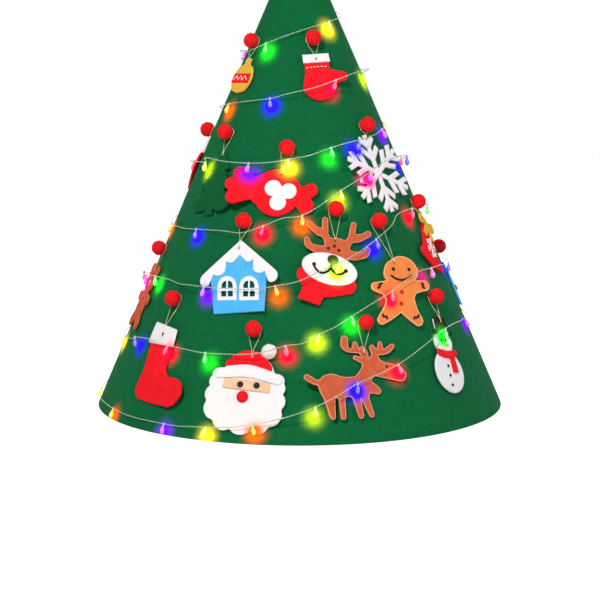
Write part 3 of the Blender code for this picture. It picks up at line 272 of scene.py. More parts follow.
def plain(name, base, roughness, grain, depth, pale=None, **inputs):
    """A moulded, spun or printed surface: one colour, with a fine grain of a given spacing and depth."""
    made, tree, output = new_material(name)
    place = add(tree, "ShaderNodeTexCoord").outputs["Object"]
    speck = noisy(tree, place, grain, 3.0, 0.6).outputs["Fac"]
    mix = mixed(tree, ranged(tree, speck, 0.4, 0.6), linear(base), linear(pale or base))
    values = {"Base Color": mix, "Roughness": roughness, "Normal": bumped(tree, speck, 0.5, depth)}
    values.update({key.replace("_", " "): value for key, value in inputs.items()})
    shader = add(tree, "ShaderNodeBsdfPrincipled", values)
    tree.links.new(shader.outputs[0], output.inputs["Surface"])
    return made


FELTS = {
    "green_felt": felt("green_craft_felt", "#026134", "#0B6F3D", "#024628"),
    "red_felt": felt("red_craft_felt", "#F41420", "#FF2A34", "#D40C18"),
    "white_felt": felt("white_craft_felt", "#F1EEEF", "#FAF8F9", "#DCDADF"),
    "brown_felt": felt("brown_craft_felt", "#CC5C38", "#DE7650", "#A84626"),
    "ginger_felt": felt("ginger_craft_felt", "#F48A44", "#FF9E58", "#DC7436"),
    "blue_felt": felt("blue_craft_felt", "#4AB6F0", "#74CAF8", "#349FDE"),
    "skin_felt": felt("tan_craft_felt", "#EEC49E", "#F8D6B6", "#DCAE86"),
    "black_felt": felt("black_craft_felt", "#1E1A1A", "#3A3434", "#0C0A0A"),
    "gold_felt": felt("gold_craft_felt", "#EEB83A", "#FFD060", "#CC962A"),
    "moss_felt": felt("mini_tree_felt", "#04572D", "#0C6A38", "#024022"),
}
RED_YARN = yarn("red_pompom_yarn", "#FF121C", "#FF3A3E", "#D60C16")
WHITE_YARN = yarn("white_pompom_yarn", "#FAF8F8", "#FFFFFF", "#E0DEE2")
# Lurex: a metallised polyester ribbon wound on a core, bright and gold
GOLD_THREAD = plain("gold_lurex_thread", "#D6CA8C", 0.35, 0.5, 0.15, pale="#F2EAB8", Metallic=0.3)
BLACK_THREAD = plain("black_embroidery_thread", "#0B0807", 0.6, 0.4, 0.2, pale="#1C1614",
                     Specular_IOR_Level=0.2)
WHITE_THREAD = plain("white_embroidery_thread", "#F6F3EE", 0.6, 0.4, 0.2, Sheen_Weight=0.3)
RED_THREAD = plain("red_embroidery_thread", "#A80F18", 0.6, 0.4, 0.2, pale="#C4222C", Specular_IOR_Level=0.2)
# Pale rims painted along the edges of the gingerbread, reindeer and deer boards as a highlight on the cut
# edge
GINGER_EDGE_HIGHLIGHT = plain("ginger_cut_edge", "#F2BE86", 0.9, 0.5, 0.3, pale="#F8D2A0", Sheen_Weight=0.3)
BROWN_EDGE_HIGHLIGHT = plain("brown_cut_edge", "#D88A6C", 0.9, 0.5, 0.3, pale="#E6A68A", Sheen_Weight=0.3)
BROWN_THREAD = plain("brown_embroidery_thread", "#3A130C", 0.6, 0.4, 0.2, pale="#54221A",
                     Specular_IOR_Level=0.2)
# Soft PVC over a tinned copper conductor, extruded: milky clear with a soft gloss
PVC = plain("clear_pvc_wire", "#B4CCB4", 0.22, 1.0, 0.03, pale="#C8DCC6", IOR=1.53, Transmission_Weight=0.3,
            Coat_Weight=0.3)
SOCKET = plain("clear_lamp_socket", "#B8C8B4", 0.25, 1.0, 0.03, IOR=1.53, Transmission_Weight=0.3)
# ABS, moulded with a fine spark-eroded texture
CASE_PLASTIC = plain("white_abs_plastic", "#EDECE8", 0.42, 0.6, 0.05, pale="#F4F3F0", IOR=1.54)
SWITCH_PLASTIC = plain("black_abs_plastic", "#1A1A1C", 0.38, 0.5, 0.04, pale="#242426", IOR=1.54)
CELL_SLEEVE = plain("green_shrink_sleeve", "#1E6A44", 0.2, 2.0, 0.02, pale="#24764C", IOR=1.55,
                    Coat_Weight=0.4)
HOOK_TAPE = plain("nylon_hook_tape", "#161617", 0.7, 0.9, 0.9, pale="#2C2C30")
LOOP_TAPE = plain("nylon_loop_tape", "#19191B", 0.95, 0.5, 0.6, pale="#303034", Sheen_Weight=0.5)
# Glitter on card: flakes of metallised film about 1 mm across, each at its own tilt
GLITTER = plain("gold_glitter", "#E0A42C", 0.3, 0.8, 0.9, pale="#FFDE80", Metallic=0.85)

LAMP_COLOURS = {
    "red": "#F00C34", "orange": "#F06A0A", "yellow": "#F0DC28", "lime": "#BEEB1E", "green": "#1EDC28",
    "blue": "#2814F0", "purple": "#7014E6", "magenta": "#E6148C",
}


def lamp_materials(colour):
    """The tinted drop of a light, white-hot in the middle and coloured at its ends, and its lit core."""
    code = linear(LAMP_COLOURS[colour])
    pale = tuple(0.72 + 0.28 * part for part in code[:3]) + (1,)
    cover, tree, output = new_material(colour + "_lamp_acrylic")
    heat = add(tree, "ShaderNodeAttribute", attribute_name="heat").outputs["Fac"]
    glass = add(tree, "ShaderNodeBsdfPrincipled", {
        "Base Color": code, "Roughness": 0.12, "IOR": 1.49, "Transmission Weight": 0.5,
        "Emission Color": mixed(tree, heat, code, pale), "Emission Strength": 1.9})
    tree.links.new(glass.outputs[0], output.inputs["Surface"])
    core, tree, output = new_material(colour + "_lamp_core")
    shader = add(tree, "ShaderNodeBsdfPrincipled", {
        "Base Color": pale, "Roughness": 0.4, "Emission Color": pale, "Emission Strength": 7.0})
    tree.links.new(shader.outputs[0], output.inputs["Surface"])
    return cover, core


# Mesh tools


def linked(name, data):
    """A new object in the scene."""
    made = bpy.data.objects.new(name, data)
    bpy.context.scene.collection.objects.link(made)
    return made


def put(name, mesh, finish, body, place=None):
    """A named piece that rides on a body."""
    piece = linked(name, mesh)
    if place:
        piece.matrix_world = place
    if not mesh.materials:
        mesh.materials.append(finish)
    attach(piece, body)
    return piece


def build_mesh(name, points, faces, smooth_angle=50):
    """A smooth-shaded mesh with creases at its sharp edges."""
    mesh = bpy.data.meshes.new(name)
    mesh.from_pydata(points, [], faces)
    mesh.validate()
    mesh.shade_smooth()
    mesh.set_sharp_from_angle(angle=radians(smooth_angle))
    return mesh


def merged(name, parts):
    """Several lists of points and faces as one mesh."""
    points, faces = [], []
    for more_points, more_faces in parts:
        first = len(points)
        points += [tuple(point) for point in more_points]
        faces += [tuple(first + index for index in face) for face in more_faces]
    return build_mesh(name, points, faces)


def joined(name, meshes):
    """Several meshes as one."""
    return merged(name, [([vertex.co for vertex in mesh.vertices],
                          [polygon.vertices for polygon in mesh.polygons]) for mesh in meshes])


def open_edges(faces):
    """The edges that only one face has, each the way that face runs."""
    bound = {}
    for face in faces:
        for a, b in zip(face, face[1:] + face[:1]):
            if (b, a) in bound:
                del bound[(b, a)]
            else:
                bound[(a, b)] = True
    return list(bound)


def walls(rings):
    """The faces from each ring of point numbers to the next."""
    quads = [(upper_next, upper, lower, lower_next) for one, other in zip(rings, rings[1:])
             for upper, upper_next, lower, lower_next
             in zip(one, one[1:] + one[:1], other, other[1:] + other[:1])]
    return [tuple(dict.fromkeys(quad)) for quad in quads if len(set(quad)) > 2]


def turns(count):
    """Even angles round a full turn."""
    return [2 * pi * step / count for step in range(count)]


def ring_of(middle, side, other, radius, count):
    """Points round a middle, in the plane of two directions."""
    return [middle + (side * cos(turn) + other * sin(turn)) * radius for turn in turns(count)]


def smoothstep(share):
    """A soft rise from 0 to 1."""
    share = min(max(share, 0.0), 1.0)
    return share * share * (3 - 2 * share)


def between(start, end, leave, arrive, steps):
    """Points from a start up to an end, by way of its directions there."""
    shares = [step / steps for step in range(steps)]
    return [start * (2 * t ** 3 - 3 * t ** 2 + 1) + leave * (t ** 3 - 2 * t ** 2 + t)
            + end * (3 * t ** 2 - 2 * t ** 3) + arrive * (t ** 3 - t ** 2) for t in shares]


def eased(corners, spacing, sharp=40):
    """A closed outline, resampled, with its shallow corners eased into curves."""
    count = len(corners)
    sides = [corners[(index + 1) % count] - corners[index] for index in range(count)]
    outline = []
    for index in range(count):
        start, end = corners[index], corners[(index + 1) % count]
        before, here, after = sides[index - 1], sides[index], sides[(index + 1) % count]
        leave = (before + here) if before.angle(here, 0) < radians(sharp) else here
        arrive = (here + after) if here.angle(after, 0) < radians(sharp) else here
        length = here.length
        leave, arrive = leave.normalized() * length, arrive.normalized() * length
        outline += between(start, end, leave, arrive, max(1, round(length / spacing)))
    return outline


def curve_through(points, steps):
    """A smooth open line through points."""
    line = []
    for index in range(len(points) - 1):
        before, start = points[max(index - 1, 0)], points[index]
        end, after = points[index + 1], points[min(index + 2, len(points) - 1)]
        line += between(start, end, (end - before) / 2, (after - start) / 2, steps)
    return line + [points[-1]]


def signed_area(outline):
    """The area of an outline, positive when it runs anticlockwise."""
    return sum(a.x * b.y - b.x * a.y for a, b in zip(outline, outline[1:] + outline[:1])) / 2


def inset(outline, depth):
    """An outline moved to its left by a depth."""
    moved = []
    for before, here, after in zip(outline[-1:] + outline[:-1], outline, outline[1:] + outline[:1]):
        along = (here - before).normalized() + (after - here).normalized()
        along = along.normalized() if along.length > 0.1 else (after - here).normalized()
        moved.append(here + Vector((-along.y, along.x)) * depth)
    return moved


def inside_and_distance(points, loops):
    """Which points are inside the loops, and how far each is from the nearest loop."""
    starts = np.array([tuple(point) for loop in loops for point in loop])
    ends = np.array([tuple(point) for loop in loops for point in loop[1:] + loop[:1]])
    inside = np.zeros(len(points), bool)
    nearest = np.full(len(points), 1e9)
    for (ax, ay), (bx, by) in zip(starts, ends):
        crosses = (ay > points[:, 1]) != (by > points[:, 1])
        if ay != by:
            inside ^= crosses & (points[:, 0] < ax + (points[:, 1] - ay) / (by - ay) * (bx - ax))
        dx, dy = bx - ax, by - ay
        along = (points[:, 0] - ax) * dx + (points[:, 1] - ay) * dy
        share = np.clip(along / (dx * dx + dy * dy + 1e-12), 0, 1)
        away = np.hypot(points[:, 0] - ax - share * dx, points[:, 1] - ay - share * dy)
        nearest = np.minimum(nearest, away)
    return inside, nearest


def cut_piece(name, outline, back, front, holes=(), ease=0.7, puff=0.0, puff_reach=8.0, spacing=1.5, grid=2.4,
              fray=0.10, both_sides=False):
    """A piece cut from sheet in millimetres, with eased edges, a slightly frayed cut and a soft face."""
    ease = min(ease, (front - back) / 2.2)
    loops = []
    for index, loop in enumerate([outline] + list(holes)):
        loop = [Vector(point[:2]) for point in loop]
        if (signed_area(loop) > 0) != (index == 0):
            loop.reverse()
        loop = eased(loop, spacing)
        seed = Vector((len(name) * 1.7, index * 3.1, 0))
        loops.append([point + Vector((noise.noise(Vector((point.x, point.y, 0)) * 0.9 + seed),
                                      noise.noise(Vector((point.y, point.x, 4)) * 0.9 + seed))) * fray
                      for point in loop])
    rims = [inset(loop, ease) for loop in loops]
    low_x, high_x = min(p.x for p in loops[0]), max(p.x for p in loops[0])
    low_y, high_y = min(p.y for p in loops[0]), max(p.y for p in loops[0])
    rows = np.arange(low_y, high_y, grid * 0.866)
    spread = np.array([(x + (grid / 2 if row % 2 else 0), y) for row, y in enumerate(rows)
                       for x in np.arange(low_x, high_x, grid)])
    inside, nearest = inside_and_distance(spread, loops)
    middle = [Vector(point) for point in spread[inside & (nearest > ease + grid * 0.45)]]
    ring_points = [point for rim in rims for point in rim]
    edges, first = [], 0
    for rim in rims:
        edges += [(first + index, first + (index + 1) % len(rim)) for index in range(len(rim))]
        first += len(rim)
    flat, _, faces, _, _, _ = delaunay_2d_cdt(ring_points + middle, edges, [], 2, 1e-5)
    reach = inside_and_distance(np.array([tuple(point) for point in flat]), loops)[1]
    middles = np.array([tuple(sum((flat[index] for index in face), Vector((0, 0))) / len(face))
                        for face in faces])
    kept = inside_and_distance(middles, rims)[0]
    faces = [face for face, keep in zip(faces, kept) if keep]
    seed = Vector((len(name) * 2.3, 7.7, 0))
    count = len(flat)
    points = []
    for level, sign in ((front, 1), (back, -1)):
        for point, away in zip(flat, reach):
            lift = puff * (1 - (1 - min(away / puff_reach, 1)) ** 2) ** 0.5 if sign > 0 or both_sides else 0
            rough = noise.noise(Vector((point.x, point.y, sign)) * 0.35 + seed) * 0.10
            rough += noise.noise(Vector((point.x, point.y, sign)) * 0.08 + seed) * 0.16
            rough *= min(1, (away - ease) / 3) if away > ease else 0
            points.append((point.x, point.y, level + sign * lift + rough))
    body = [tuple(face) for face in faces]
    body += [tuple(count + index for index in reversed(face)) for face in faces]
    key = {(round(flat[a].x, 4), round(flat[a].y, 4)): a for a, _ in open_edges(faces)}
    # How far in the middle of each rounded edge lies, as a share of the easing
    turn = 0.293
    steps = ((turn, front - turn * ease), (0.0, front - ease), (0.0, back + ease), (turn, back + turn * ease))
    for loop, rim in zip(loops, rims):
        here = [key.get((round(point.x, 4), round(point.y, 4))) for point in rim]
        if None in here or len(set(here)) < len(here):
            here = [min(range(count), key=lambda index: (flat[index] - point).length_squared)
                    for point in rim]
        rings = [here]
        for share, height in steps:
            first = len(points)
            moved = inset(loop, ease * share)
            points += [(point.x, point.y, height) for point in moved]
            rings.append(list(range(first, first + len(moved))))
        rings.append([count + index for index in here])
        body += walls(rings)
    return build_mesh(name, [(x * MM, y * MM, z * MM) for x, y, z in points], body)


def side_of(line, index, side=None):
    """The way along a line at a point, and a side across it that turns as little as possible."""
    along = (line[min(index + 1, len(line) - 1)] - line[max(index - 1, 0)]).normalized()
    if side is None:
        side = along.orthogonal().normalized()
    return along, (side - along * side.dot(along)).normalized()


def closed_rings(rings, sides, flipped=False):
    """The faces of a row of rings of points, closed at both ends."""
    faces = []
    for row in range(rings - 1):
        for step in range(sides):
            after = (step + 1) % sides
            low, high = row * sides, (row + 1) * sides
            faces.append((low + step, high + step, high + after, low + after) if flipped
                         else (low + step, low + after, high + after, high + step))
    ends = [tuple(range(sides)), tuple(range((rings - 1) * sides, rings * sides))]
    faces.append(ends[0] if flipped else ends[0][::-1])
    faces.append(ends[1][::-1] if flipped else ends[1])
    return faces


def tube(name, line, radius, sides=8):
    """A round tube with closed ends along a line of points; the radius may change with each point."""
    radii = radius if isinstance(radius, (list, tuple)) else [radius] * len(line)
    points, side = [], None
    for index, here in enumerate(line):
        along, side = side_of(line, index, side)
        points += [tuple(point) for point in ring_of(here, side, along.cross(side), radii[index], sides)]
    return build_mesh(name, points, closed_rings(len(line), sides))


def twisted(line, radius, pitch, strands=2):
    """The lines of strands twisted about a line, as cords and wires are, and the radius of one strand."""
    reach = radius / 2
    lines = [[] for _ in range(strands)]
    side, run = None, 0.0
    for index, here in enumerate(line):
        along, side = side_of(line, index, side)
        other = along.cross(side)
        if index:
            run += (here - line[index - 1]).length
        for number in range(strands):
            turn = 2 * pi * (run / pitch + number / strands)
            lines[number].append(here + (side * cos(turn) + other * sin(turn)) * reach)
    return lines, radius - reach


def even(line, spacing):
    """A line resampled to an even spacing."""
    made, left = [line[0]], spacing
    for start, end in zip(line, line[1:]):
        length = (end - start).length
        run = left
        while run <= length:
            made.append(start + (end - start) * (run / length))
            run += spacing
        left = run - length
    if (made[-1] - line[-1]).length > spacing * 0.3:
        made.append(line[-1])
    return made


# Places on the cone


def cone_radius(height, lift=0.0):
    """The cone's radius at a height, for a skin lifted off its outer face."""
    return BASE_RADIUS * (1 - height / CONE_HEIGHT) + lift / cos(SLOPE)


def on_cone(azimuth, height, lift=0.0):
    """A point at an azimuth and a height on a skin lifted off the cone."""
    turn, radius = radians(azimuth), cone_radius(height, lift)
    return Vector((radius * sin(turn), -radius * cos(turn), height))


def seat(azimuth, height):
    """A frame on the cone: X to the right, Y up the slope, Z straight out of the felt."""
    turn = radians(azimuth)
    out = Vector((sin(turn) * cos(SLOPE), -cos(turn) * cos(SLOPE), sin(SLOPE)))
    right = Vector((cos(turn), sin(turn), 0))
    made = Matrix((right, out.cross(right), out)).transposed().to_4x4()
    made.translation = on_cone(azimuth, height)
    return made


def lap_at(height):
    """How far the outer layer stands off at the overlap, with the strips or without."""
    fade = smoothstep((height - STRIP_TOP) / (TIP_HEIGHT - STRIP_TOP) * 4)
    return STRIP_LAP + (PLAIN_LAP - STRIP_LAP) * fade


def felt_lift(azimuth, height):
    """The outer face's lift off the plain cone, which is not zero near the overlap."""
    azimuth = (azimuth + 180 - OVERLAP_ANGLE / 2) % 360 - 180 + OVERLAP_ANGLE / 2
    start = SEAM_AZIMUTH - OVERLAP_ANGLE / 2 - RAMP_ANGLE
    return lap_at(height) * smoothstep((azimuth - start) / RAMP_ANGLE)


# Each figure's peg on the cone, from its joint, with its azimuth
PEGS = {}
for joint in frame["joints"]:
    if joint["name"].endswith("_swing"):
        name = joint["name"][:-len("_swing")]
        x, y, height = joint["pos_m"]
        azimuth = (np.degrees(np.arctan2(x, -y)) + 180) % 360 - 180
        PEGS[name] = {"azimuth": float(azimuth), "height": height, "seat": seat(azimuth, height),
                      "swing": max(joint["range_deg"])}


def figure_place(name):
    """The upright frame of a figure, with its own middle as its origin."""
    (x, y), lean, _ = FIGURES[name]
    middle = Matrix.Translation((x * MM, y * MM, 0))
    return PEGS[name]["seat"] @ middle @ Matrix.Rotation(radians(-lean), 4, "Z")


def solid_outline(node, place):
    """The outline of a felt solid's front face, in millimetres in a frame."""
    mesh = frame["nodes"][node].data
    back_to = place.inverted()
    points = [back_to @ vertex.co / MM for vertex in mesh.vertices]
    front = max(point.z for point in points if abs(point.z) < 9)
    fronts, spot = [], {}
    for polygon in mesh.polygons:
        corners = [points[index] for index in polygon.vertices]
        if all(abs(corner.z - front) < 0.05 for corner in corners):
            keys = [(round(corner.x, 2), round(corner.y, 2)) for corner in corners]
            spot.update({key: Vector((corner.x, corner.y)) for key, corner in zip(keys, corners)})
            fronts.append(keys)
    follow = dict(open_edges(fronts))
    best = []
    while follow:
        start = here = next(iter(follow))
        loop = []
        while here in follow:
            loop.append(spot[here])
            here = follow.pop(here)
        if len(loop) > len(best):
            best = loop
    tidy = []
    for before, here, after in zip(best[-1:] + best[:-1], best, best[1:] + best[:1]):
        if (here - before).length > 0.05 and (here - before).angle(after - here, 0) > radians(1):
            tidy.append(here)
    return tidy, front


def circle(x, y, radius, up=None, count=20, tilt=0.0):
    """A circle or an ellipse as corners."""
    spin = Matrix.Rotation(radians(tilt), 2)
    return [Vector((x, y)) + spin @ Vector((radius * cos(turn), (up or radius) * sin(turn)))
            for turn in turns(count)]


# The felt cone


def cone_sheet():
    """One sheet of felt rolled into a cone, a little uneven, with soft edges and its overlap at the back."""
    start, end = SEAM_AZIMUTH - 360 - OVERLAP_ANGLE / 2, SEAM_AZIMUTH + OVERLAP_ANGLE / 2
    columns, rows = 372, 144
    ramp_start = end - OVERLAP_ANGLE - RAMP_ANGLE
    edge = 0.0008

    def point(angle, height, depth):
        lift = lap_at(height) * smoothstep((angle - ramp_start) / RAMP_ANGLE)
        uneven = noise.noise(Vector((angle * 0.05, height * 22, 1))) * 0.00035
        uneven += noise.noise(Vector((angle * 0.6, height * 160, 5))) * 0.00012
        return on_cone(angle, height, lift - depth + uneven * smoothstep((height - edge) / 0.01))

    angles = [start + (end - start) * step / columns for step in range(columns + 1)]
    heights = [edge + (TIP_HEIGHT - 2 * edge) * step / rows for step in range(rows + 1)]
    points, faces = [], []
    across = len(heights)
    for depth in (0.0, FELT):
        for angle in angles:
            points += [point(angle, height, depth) for height in heights]
    back = len(angles) * across
    for index in range(columns):
        for row in range(rows):
            a, b = index * across + row, (index + 1) * across + row
            faces.append((a, b, b + 1, a + 1))
            faces.append((back + a + 1, back + b + 1, back + b, back + a))
    border = [(index, 0) for index in range(columns)] + [(columns, row) for row in range(rows)]
    border += [(index, rows) for index in range(columns, 0, -1)] + [(0, row) for row in range(rows, 0, -1)]
    rings = [[index * across + row for index, row in border]]
    slope_edge = degrees_at(edge)
    for depth in (edge * 0.4, FELT / 2, FELT - edge * 0.4):
        first = len(points)
        out = 1.0 if depth == FELT / 2 else 0.7
        for index, row in border:
            angle, height = angles[index], heights[row]
            angle += out * slope_edge * (-1 if index == 0 else 1 if index == columns else 0)
            height += out * edge * (-1 if row == 0 else 1 if row == rows else 0)
            points.append(point(angle, height, depth))
        rings.append(list(range(first, first + len(border))))
    rings.append([back + index * across + row for index, row in border])
    return build_mesh("felt_cone_sheet", [tuple(p) for p in points], faces + walls(rings), 75)


def degrees_at(length):
    """A length round the hem, as an angle in degrees."""
    return length / BASE_RADIUS * 180 / pi


cone = put("felt_cone_sheet", cone_sheet(), FELTS["green_felt"], "tree")
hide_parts("felt_cone")


# The ornaments

SLOTS = {finish.name: slot for slot, finish in FELTS.items()}
SLOTS.update({BLACK_THREAD.name: "black_felt", BROWN_THREAD.name: "black_felt",
              WHITE_THREAD.name: "white_felt", RED_THREAD.name: "red_felt",
              GINGER_EDGE_HIGHLIGHT.name: "ginger_felt", BROWN_EDGE_HIGHLIGHT.name: "brown_felt"})
# Glue and stitches hold a piece this far into the felt below it, in millimetres
GLUE_SINK = 0.3
FIGURE_NODES = {name: [name] for name in FIGURES}
for node in frame["nodes"]:
    owner = node.split("_")[0]
    if owner in FIGURES and node != owner and not node.endswith("_peg") and node not in FIGURES:
        FIGURE_NODES[owner].append(node)
SLOT_OF = {entry["node"]: entry["material_slot"] for entry in frame["record"]["subparts"]}


def part_of(figure, name, mesh, finish):
    """A piece of a figure, at the figure's own middle and lean."""
    put(figure + "_" + name, mesh, finish, figure + "_ornament", figure_place(figure))


def glued(figure, name, outline, height, finish, thick=1.0, **settings):
    """A flat piece glued on a figure's face at a height."""
    settings.setdefault("ease", thick * 0.35)
    mesh = cut_piece(figure + name, outline, height - GLUE_SINK, height + thick, **settings)
    part_of(figure, name, mesh, finish)


def stitched(figure, name, corners, height, width, finish, steps=6, closed=False):
    """A line of thick thread laid on a figure's face."""
    points = [Vector((x, y, height)) for x, y in corners]
    if closed:
        points.append(points[0])
    line = [point * MM for point in curve_through(points, steps)]
    for index, point in enumerate(line):
        point.z += sin(index * 1.9) * 0.00008
    part_of(figure, name, tube(name, line, width * MM / 2, 8), finish)


def dashes(figure, corners, width=1.0, dash=2.6, skip=2.0):
    """A row of white hand stitches along a line on a figure's face."""
    name, height = "stitches", BOARD_FRONT + 0.2
    line = even([point * MM for point in curve_through([Vector((x, y, height)) for x, y in corners], 8)],
                (dash + skip) * MM)
    meshes = []
    for start, end in zip(line, line[1:]):
        along = (end - start).normalized()
        last = start + along * dash * MM
        low = Vector((0, 0, -width * 0.35 * MM))
        stitch = [start + low, start + along * dash * 0.2 * MM, last - along * dash * 0.2 * MM, last + low]
        meshes.append(tube(name, stitch, [width * MM * share for share in (0.3, 0.5, 0.5, 0.3)], 6))
    part_of(figure, name, joined(figure + name, meshes), WHITE_THREAD)


# The feet of the house's two windows, in its own frame
WINDOW_FEET = [(-12.1, -72.1), (16.2, -73.9)]
WINDOW_ARCH = [(-12.4, 0), (12.4, 0), (12.4, 17), (10.5, 23.5), (6, 28), (0, 29.7), (-6, 28), (-10.5, 23.5),
               (-12.4, 17)]
WINDOW_PANES = [[(-7.6, 4.5), (-1, 4.5), (-1, 11.5), (-7.6, 11.5)],
                [(1, 4.5), (7.6, 4.5), (7.6, 11.5), (1, 11.5)],
                [(-7.4, 15.0), (-1, 15.0), (-1, 24.0), (-4.4, 23.2), (-7.0, 19.6)],
                [(1, 15.0), (7.4, 15.0), (7.0, 19.6), (4.4, 23.2), (1, 24.0)]]


def window_points(foot, corners):
    """Points of a window set a little askew on its foot."""
    return [Vector((foot[0] + across - 0.06 * up, foot[1] + up - 0.05 * across)) for across, up in corners]


CUT_OUTS = {"house": [window_points(foot, pane) for foot in WINDOW_FEET for pane in WINDOW_PANES]}
LAYER_SETTINGS = {
    "santa_nose": dict(puff=1.2, puff_reach=7, ease=0.9),
    "reindeer_nose": dict(puff=1.4, puff_reach=6, ease=0.9),
    "candy_dots": dict(puff=0.5, puff_reach=5), "reindeer_muzzle": dict(puff=0.5, puff_reach=8),
    "santa_brim": dict(puff=0.4, puff_reach=6, ease=0.9), "stocking_cuff": dict(puff=0.5, puff_reach=8),
}
# How far the hat's felt hangs over its board, and above what height, in millimetres
HAT_OVERHANG, HAT_FROM, HAT_MIDDLE = 2.2, 33, 28
# Each figure's outlines about its peg, with the height of their fronts, in metres
FRONTS = {}
for name, nodes in FIGURE_NODES.items():
    place = figure_place(name)
    (mx, my), lean, hole = FIGURES[name]
    spin = Matrix.Rotation(radians(-lean), 2)
    outlines = {node: solid_outline(node, place) for node in nodes if node != "santa_pompom"}
    holed = [node for node in outlines
             if inside_and_distance(np.array([hole], float), [outlines[node][0]])[0][0]]
    FRONTS[name] = []
    for node, (outline, front) in outlines.items():
        if node == "santa_hat":
            # The hat's felt hangs a little over the board's edge
            outline = [point + Vector((point.x, point.y - HAT_MIDDLE)).normalized()
                       * (HAT_OVERHANG if point.y > HAT_FROM else 0) for point in outline]
        thick = BOARD_FRONT - BOARD_BACK if front < LAYER_FRONT - 1 else LAYER_FRONT - LAYER_BACK
        holes = list(CUT_OUTS.get(node, []))
        if node in holed[-1:]:
            holes.append(circle(hole[0], hole[1], 1.5, count=10))
        back = front - thick - (0.0 if node == name else 0.3)
        finish = FELTS["moss_felt" if node == "mini_tree" else SLOT_OF[node]]
        mesh = cut_piece(node + "_felt", outline, back, front, holes, **LAYER_SETTINGS.get(node, {}))
        piece = put(node + "_felt", mesh, finish, name + "_ornament", place)
        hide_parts(node)
        FRONTS[name].append(([(Vector((mx, my)) + spin @ point) * MM for point in outline], front * MM))


def hanging_thread(name):
    """The gold loop: from the hole in the felt, up both sides of the peg's neck and back."""
    (mx, my), lean, hole = FIGURES[name]
    spin = Matrix.Rotation(radians(-lean), 2)
    hole = Vector((mx, my)) + spin @ Vector(hole)
    over_hole = [front for outline, front in FRONTS[name]
                 if inside_and_distance(np.array([tuple(hole * MM)]), [outline])[0][0]]
    top = max(over_hole or [BOARD_FRONT * MM]) / MM
    away = Vector((-hole.x, -hole.y)).normalized()
    side = Vector((-away.y, away.x))
    length = hole.length
    samples = np.array([tuple((hole + away * length * step / 40) * MM) for step in range(41)])
    inside = np.any([inside_and_distance(samples, [outline])[0] for outline, _ in FRONTS[name]], axis=0)
    over = max([step for step in range(41) if inside[step]] or [0]) / 40 * length + 1.2
    neck = PEG_NECK + 0.5
    reach = length - neck * 0.6
    # How far each point is off the middle line, how far along it, and how high
    rows = [(0.2, 0, top - 1.4), (0.5, 1, top + 0.6), (0.8, max(2.0, over * 0.6), top + 0.5),
            (1.0, over, top + 0.2)]
    rows += [(1.0 + (neck * 0.95 - 1.0) * share, over + (reach - over) * share,
              top + 0.2 - (top - 1.8) * share) for share in (0.25, 0.5, 0.75)]
    up, down = ([Vector((*(hole + side * sign * wide + away * run), height)) for wide, run, height in rows]
                for sign in (-1, 1))
    round_neck = [Vector((*(away * neck * cos(turn) + side * neck * sin(turn)), 2.0))
                  for turn in [-pi / 2 + pi * step / 8 for step in range(9)]]
    line = up + round_neck + down[::-1]
    path = even([point * MM for point in curve_through(line, 6)], 0.0006)
    strands, thin = twisted(path, THREAD * MM, 0.0032)
    mesh = joined(name + "_thread", [tube("strand", strand, thin, 5) for strand in strands])
    return put(name + "_gold_thread", mesh, GOLD_THREAD, name + "_ornament", PEGS[name]["seat"])


for name in FIGURES:
    hanging_thread(name)


# What is drawn, glued and sewn on the figures, in each figure's own frame

# How finely small pieces are cut, in millimetres, and where thread lies on a board and on a layer
FINE = dict(spacing=1.0, grid=1.4)
ON_BOARD, ON_LAYER = BOARD_FRONT + 0.3, LAYER_FRONT + 0.8


def dots(figure, name, places, radius, height, finish=BLACK_THREAD, thick=0.6):
    """Round spots glued on a figure's face."""
    for number, (x, y) in enumerate(places):
        glued(figure, "%s_%d" % (name, number), circle(x, y, radius, count=14), height, finish, thick,
              fray=0.03, **FINE)


def board(figure):
    """The outline of a figure's board in its own frame, anticlockwise."""
    outline = solid_outline(figure, figure_place(figure))[0]
    return outline if signed_area(outline) > 0 else outline[::-1]


def cut_edge(figure, finish, width=1.1):
    """A thin pale rim along a figure's board: a highlight painted on its cut edge."""
    stitched(figure, "cut_edge", inset(eased(board(figure), 1.5), 0.5), BOARD_FRONT - 0.25, width, finish,
             steps=1, closed=True)


for number, foot in enumerate(WINDOW_FEET):
    glued("house", "window_%d" % number, window_points(foot, WINDOW_ARCH), BOARD_FRONT, FELTS["white_felt"],
          0.5, holes=[window_points(foot, pane) for pane in WINDOW_PANES], spacing=1.2, grid=1.6, fray=0.03)

cut_edge("gingerbread", GINGER_EDGE_HIGHLIGHT)
dots("gingerbread", "eye", [(-10.5, 1.0), (12.9, 2.5)], 2.3, BOARD_FRONT)
dots("gingerbread", "button", [(-2.3, -27.3), (-5.3, -41.6)], 2.6, BOARD_FRONT, RED_THREAD, 1.0)
stitched("gingerbread", "smile", [(-15.3, -7.2), (-9.7, -10.5), (-0.8, -11.9), (8.6, -9.5), (16.3, -4.7)],
         ON_BOARD, 2.7, BLACK_THREAD)
for name, corners in (("left_hand", [(-29.9, -18.5), (-34.7, -20.2), (-33.4, -22.7), (-37.6, -24.7)]),
                      ("right_hand", [(28.5, -13.7), (31.9, -15.2), (29.6, -17.7), (32.9, -19.8)]),
                      ("left_foot", [(-34.5, -56.5), (-33.9, -59.7), (-29.3, -59.1), (-29.1, -62.4)]),
                      ("right_foot", [(19.0, -53.8), (16.7, -57.5), (12.5, -57.4), (10.9, -60.2)])):
    stitched("gingerbread", name + "_zigzag", corners, ON_BOARD, 2.6, BLACK_THREAD, steps=2)

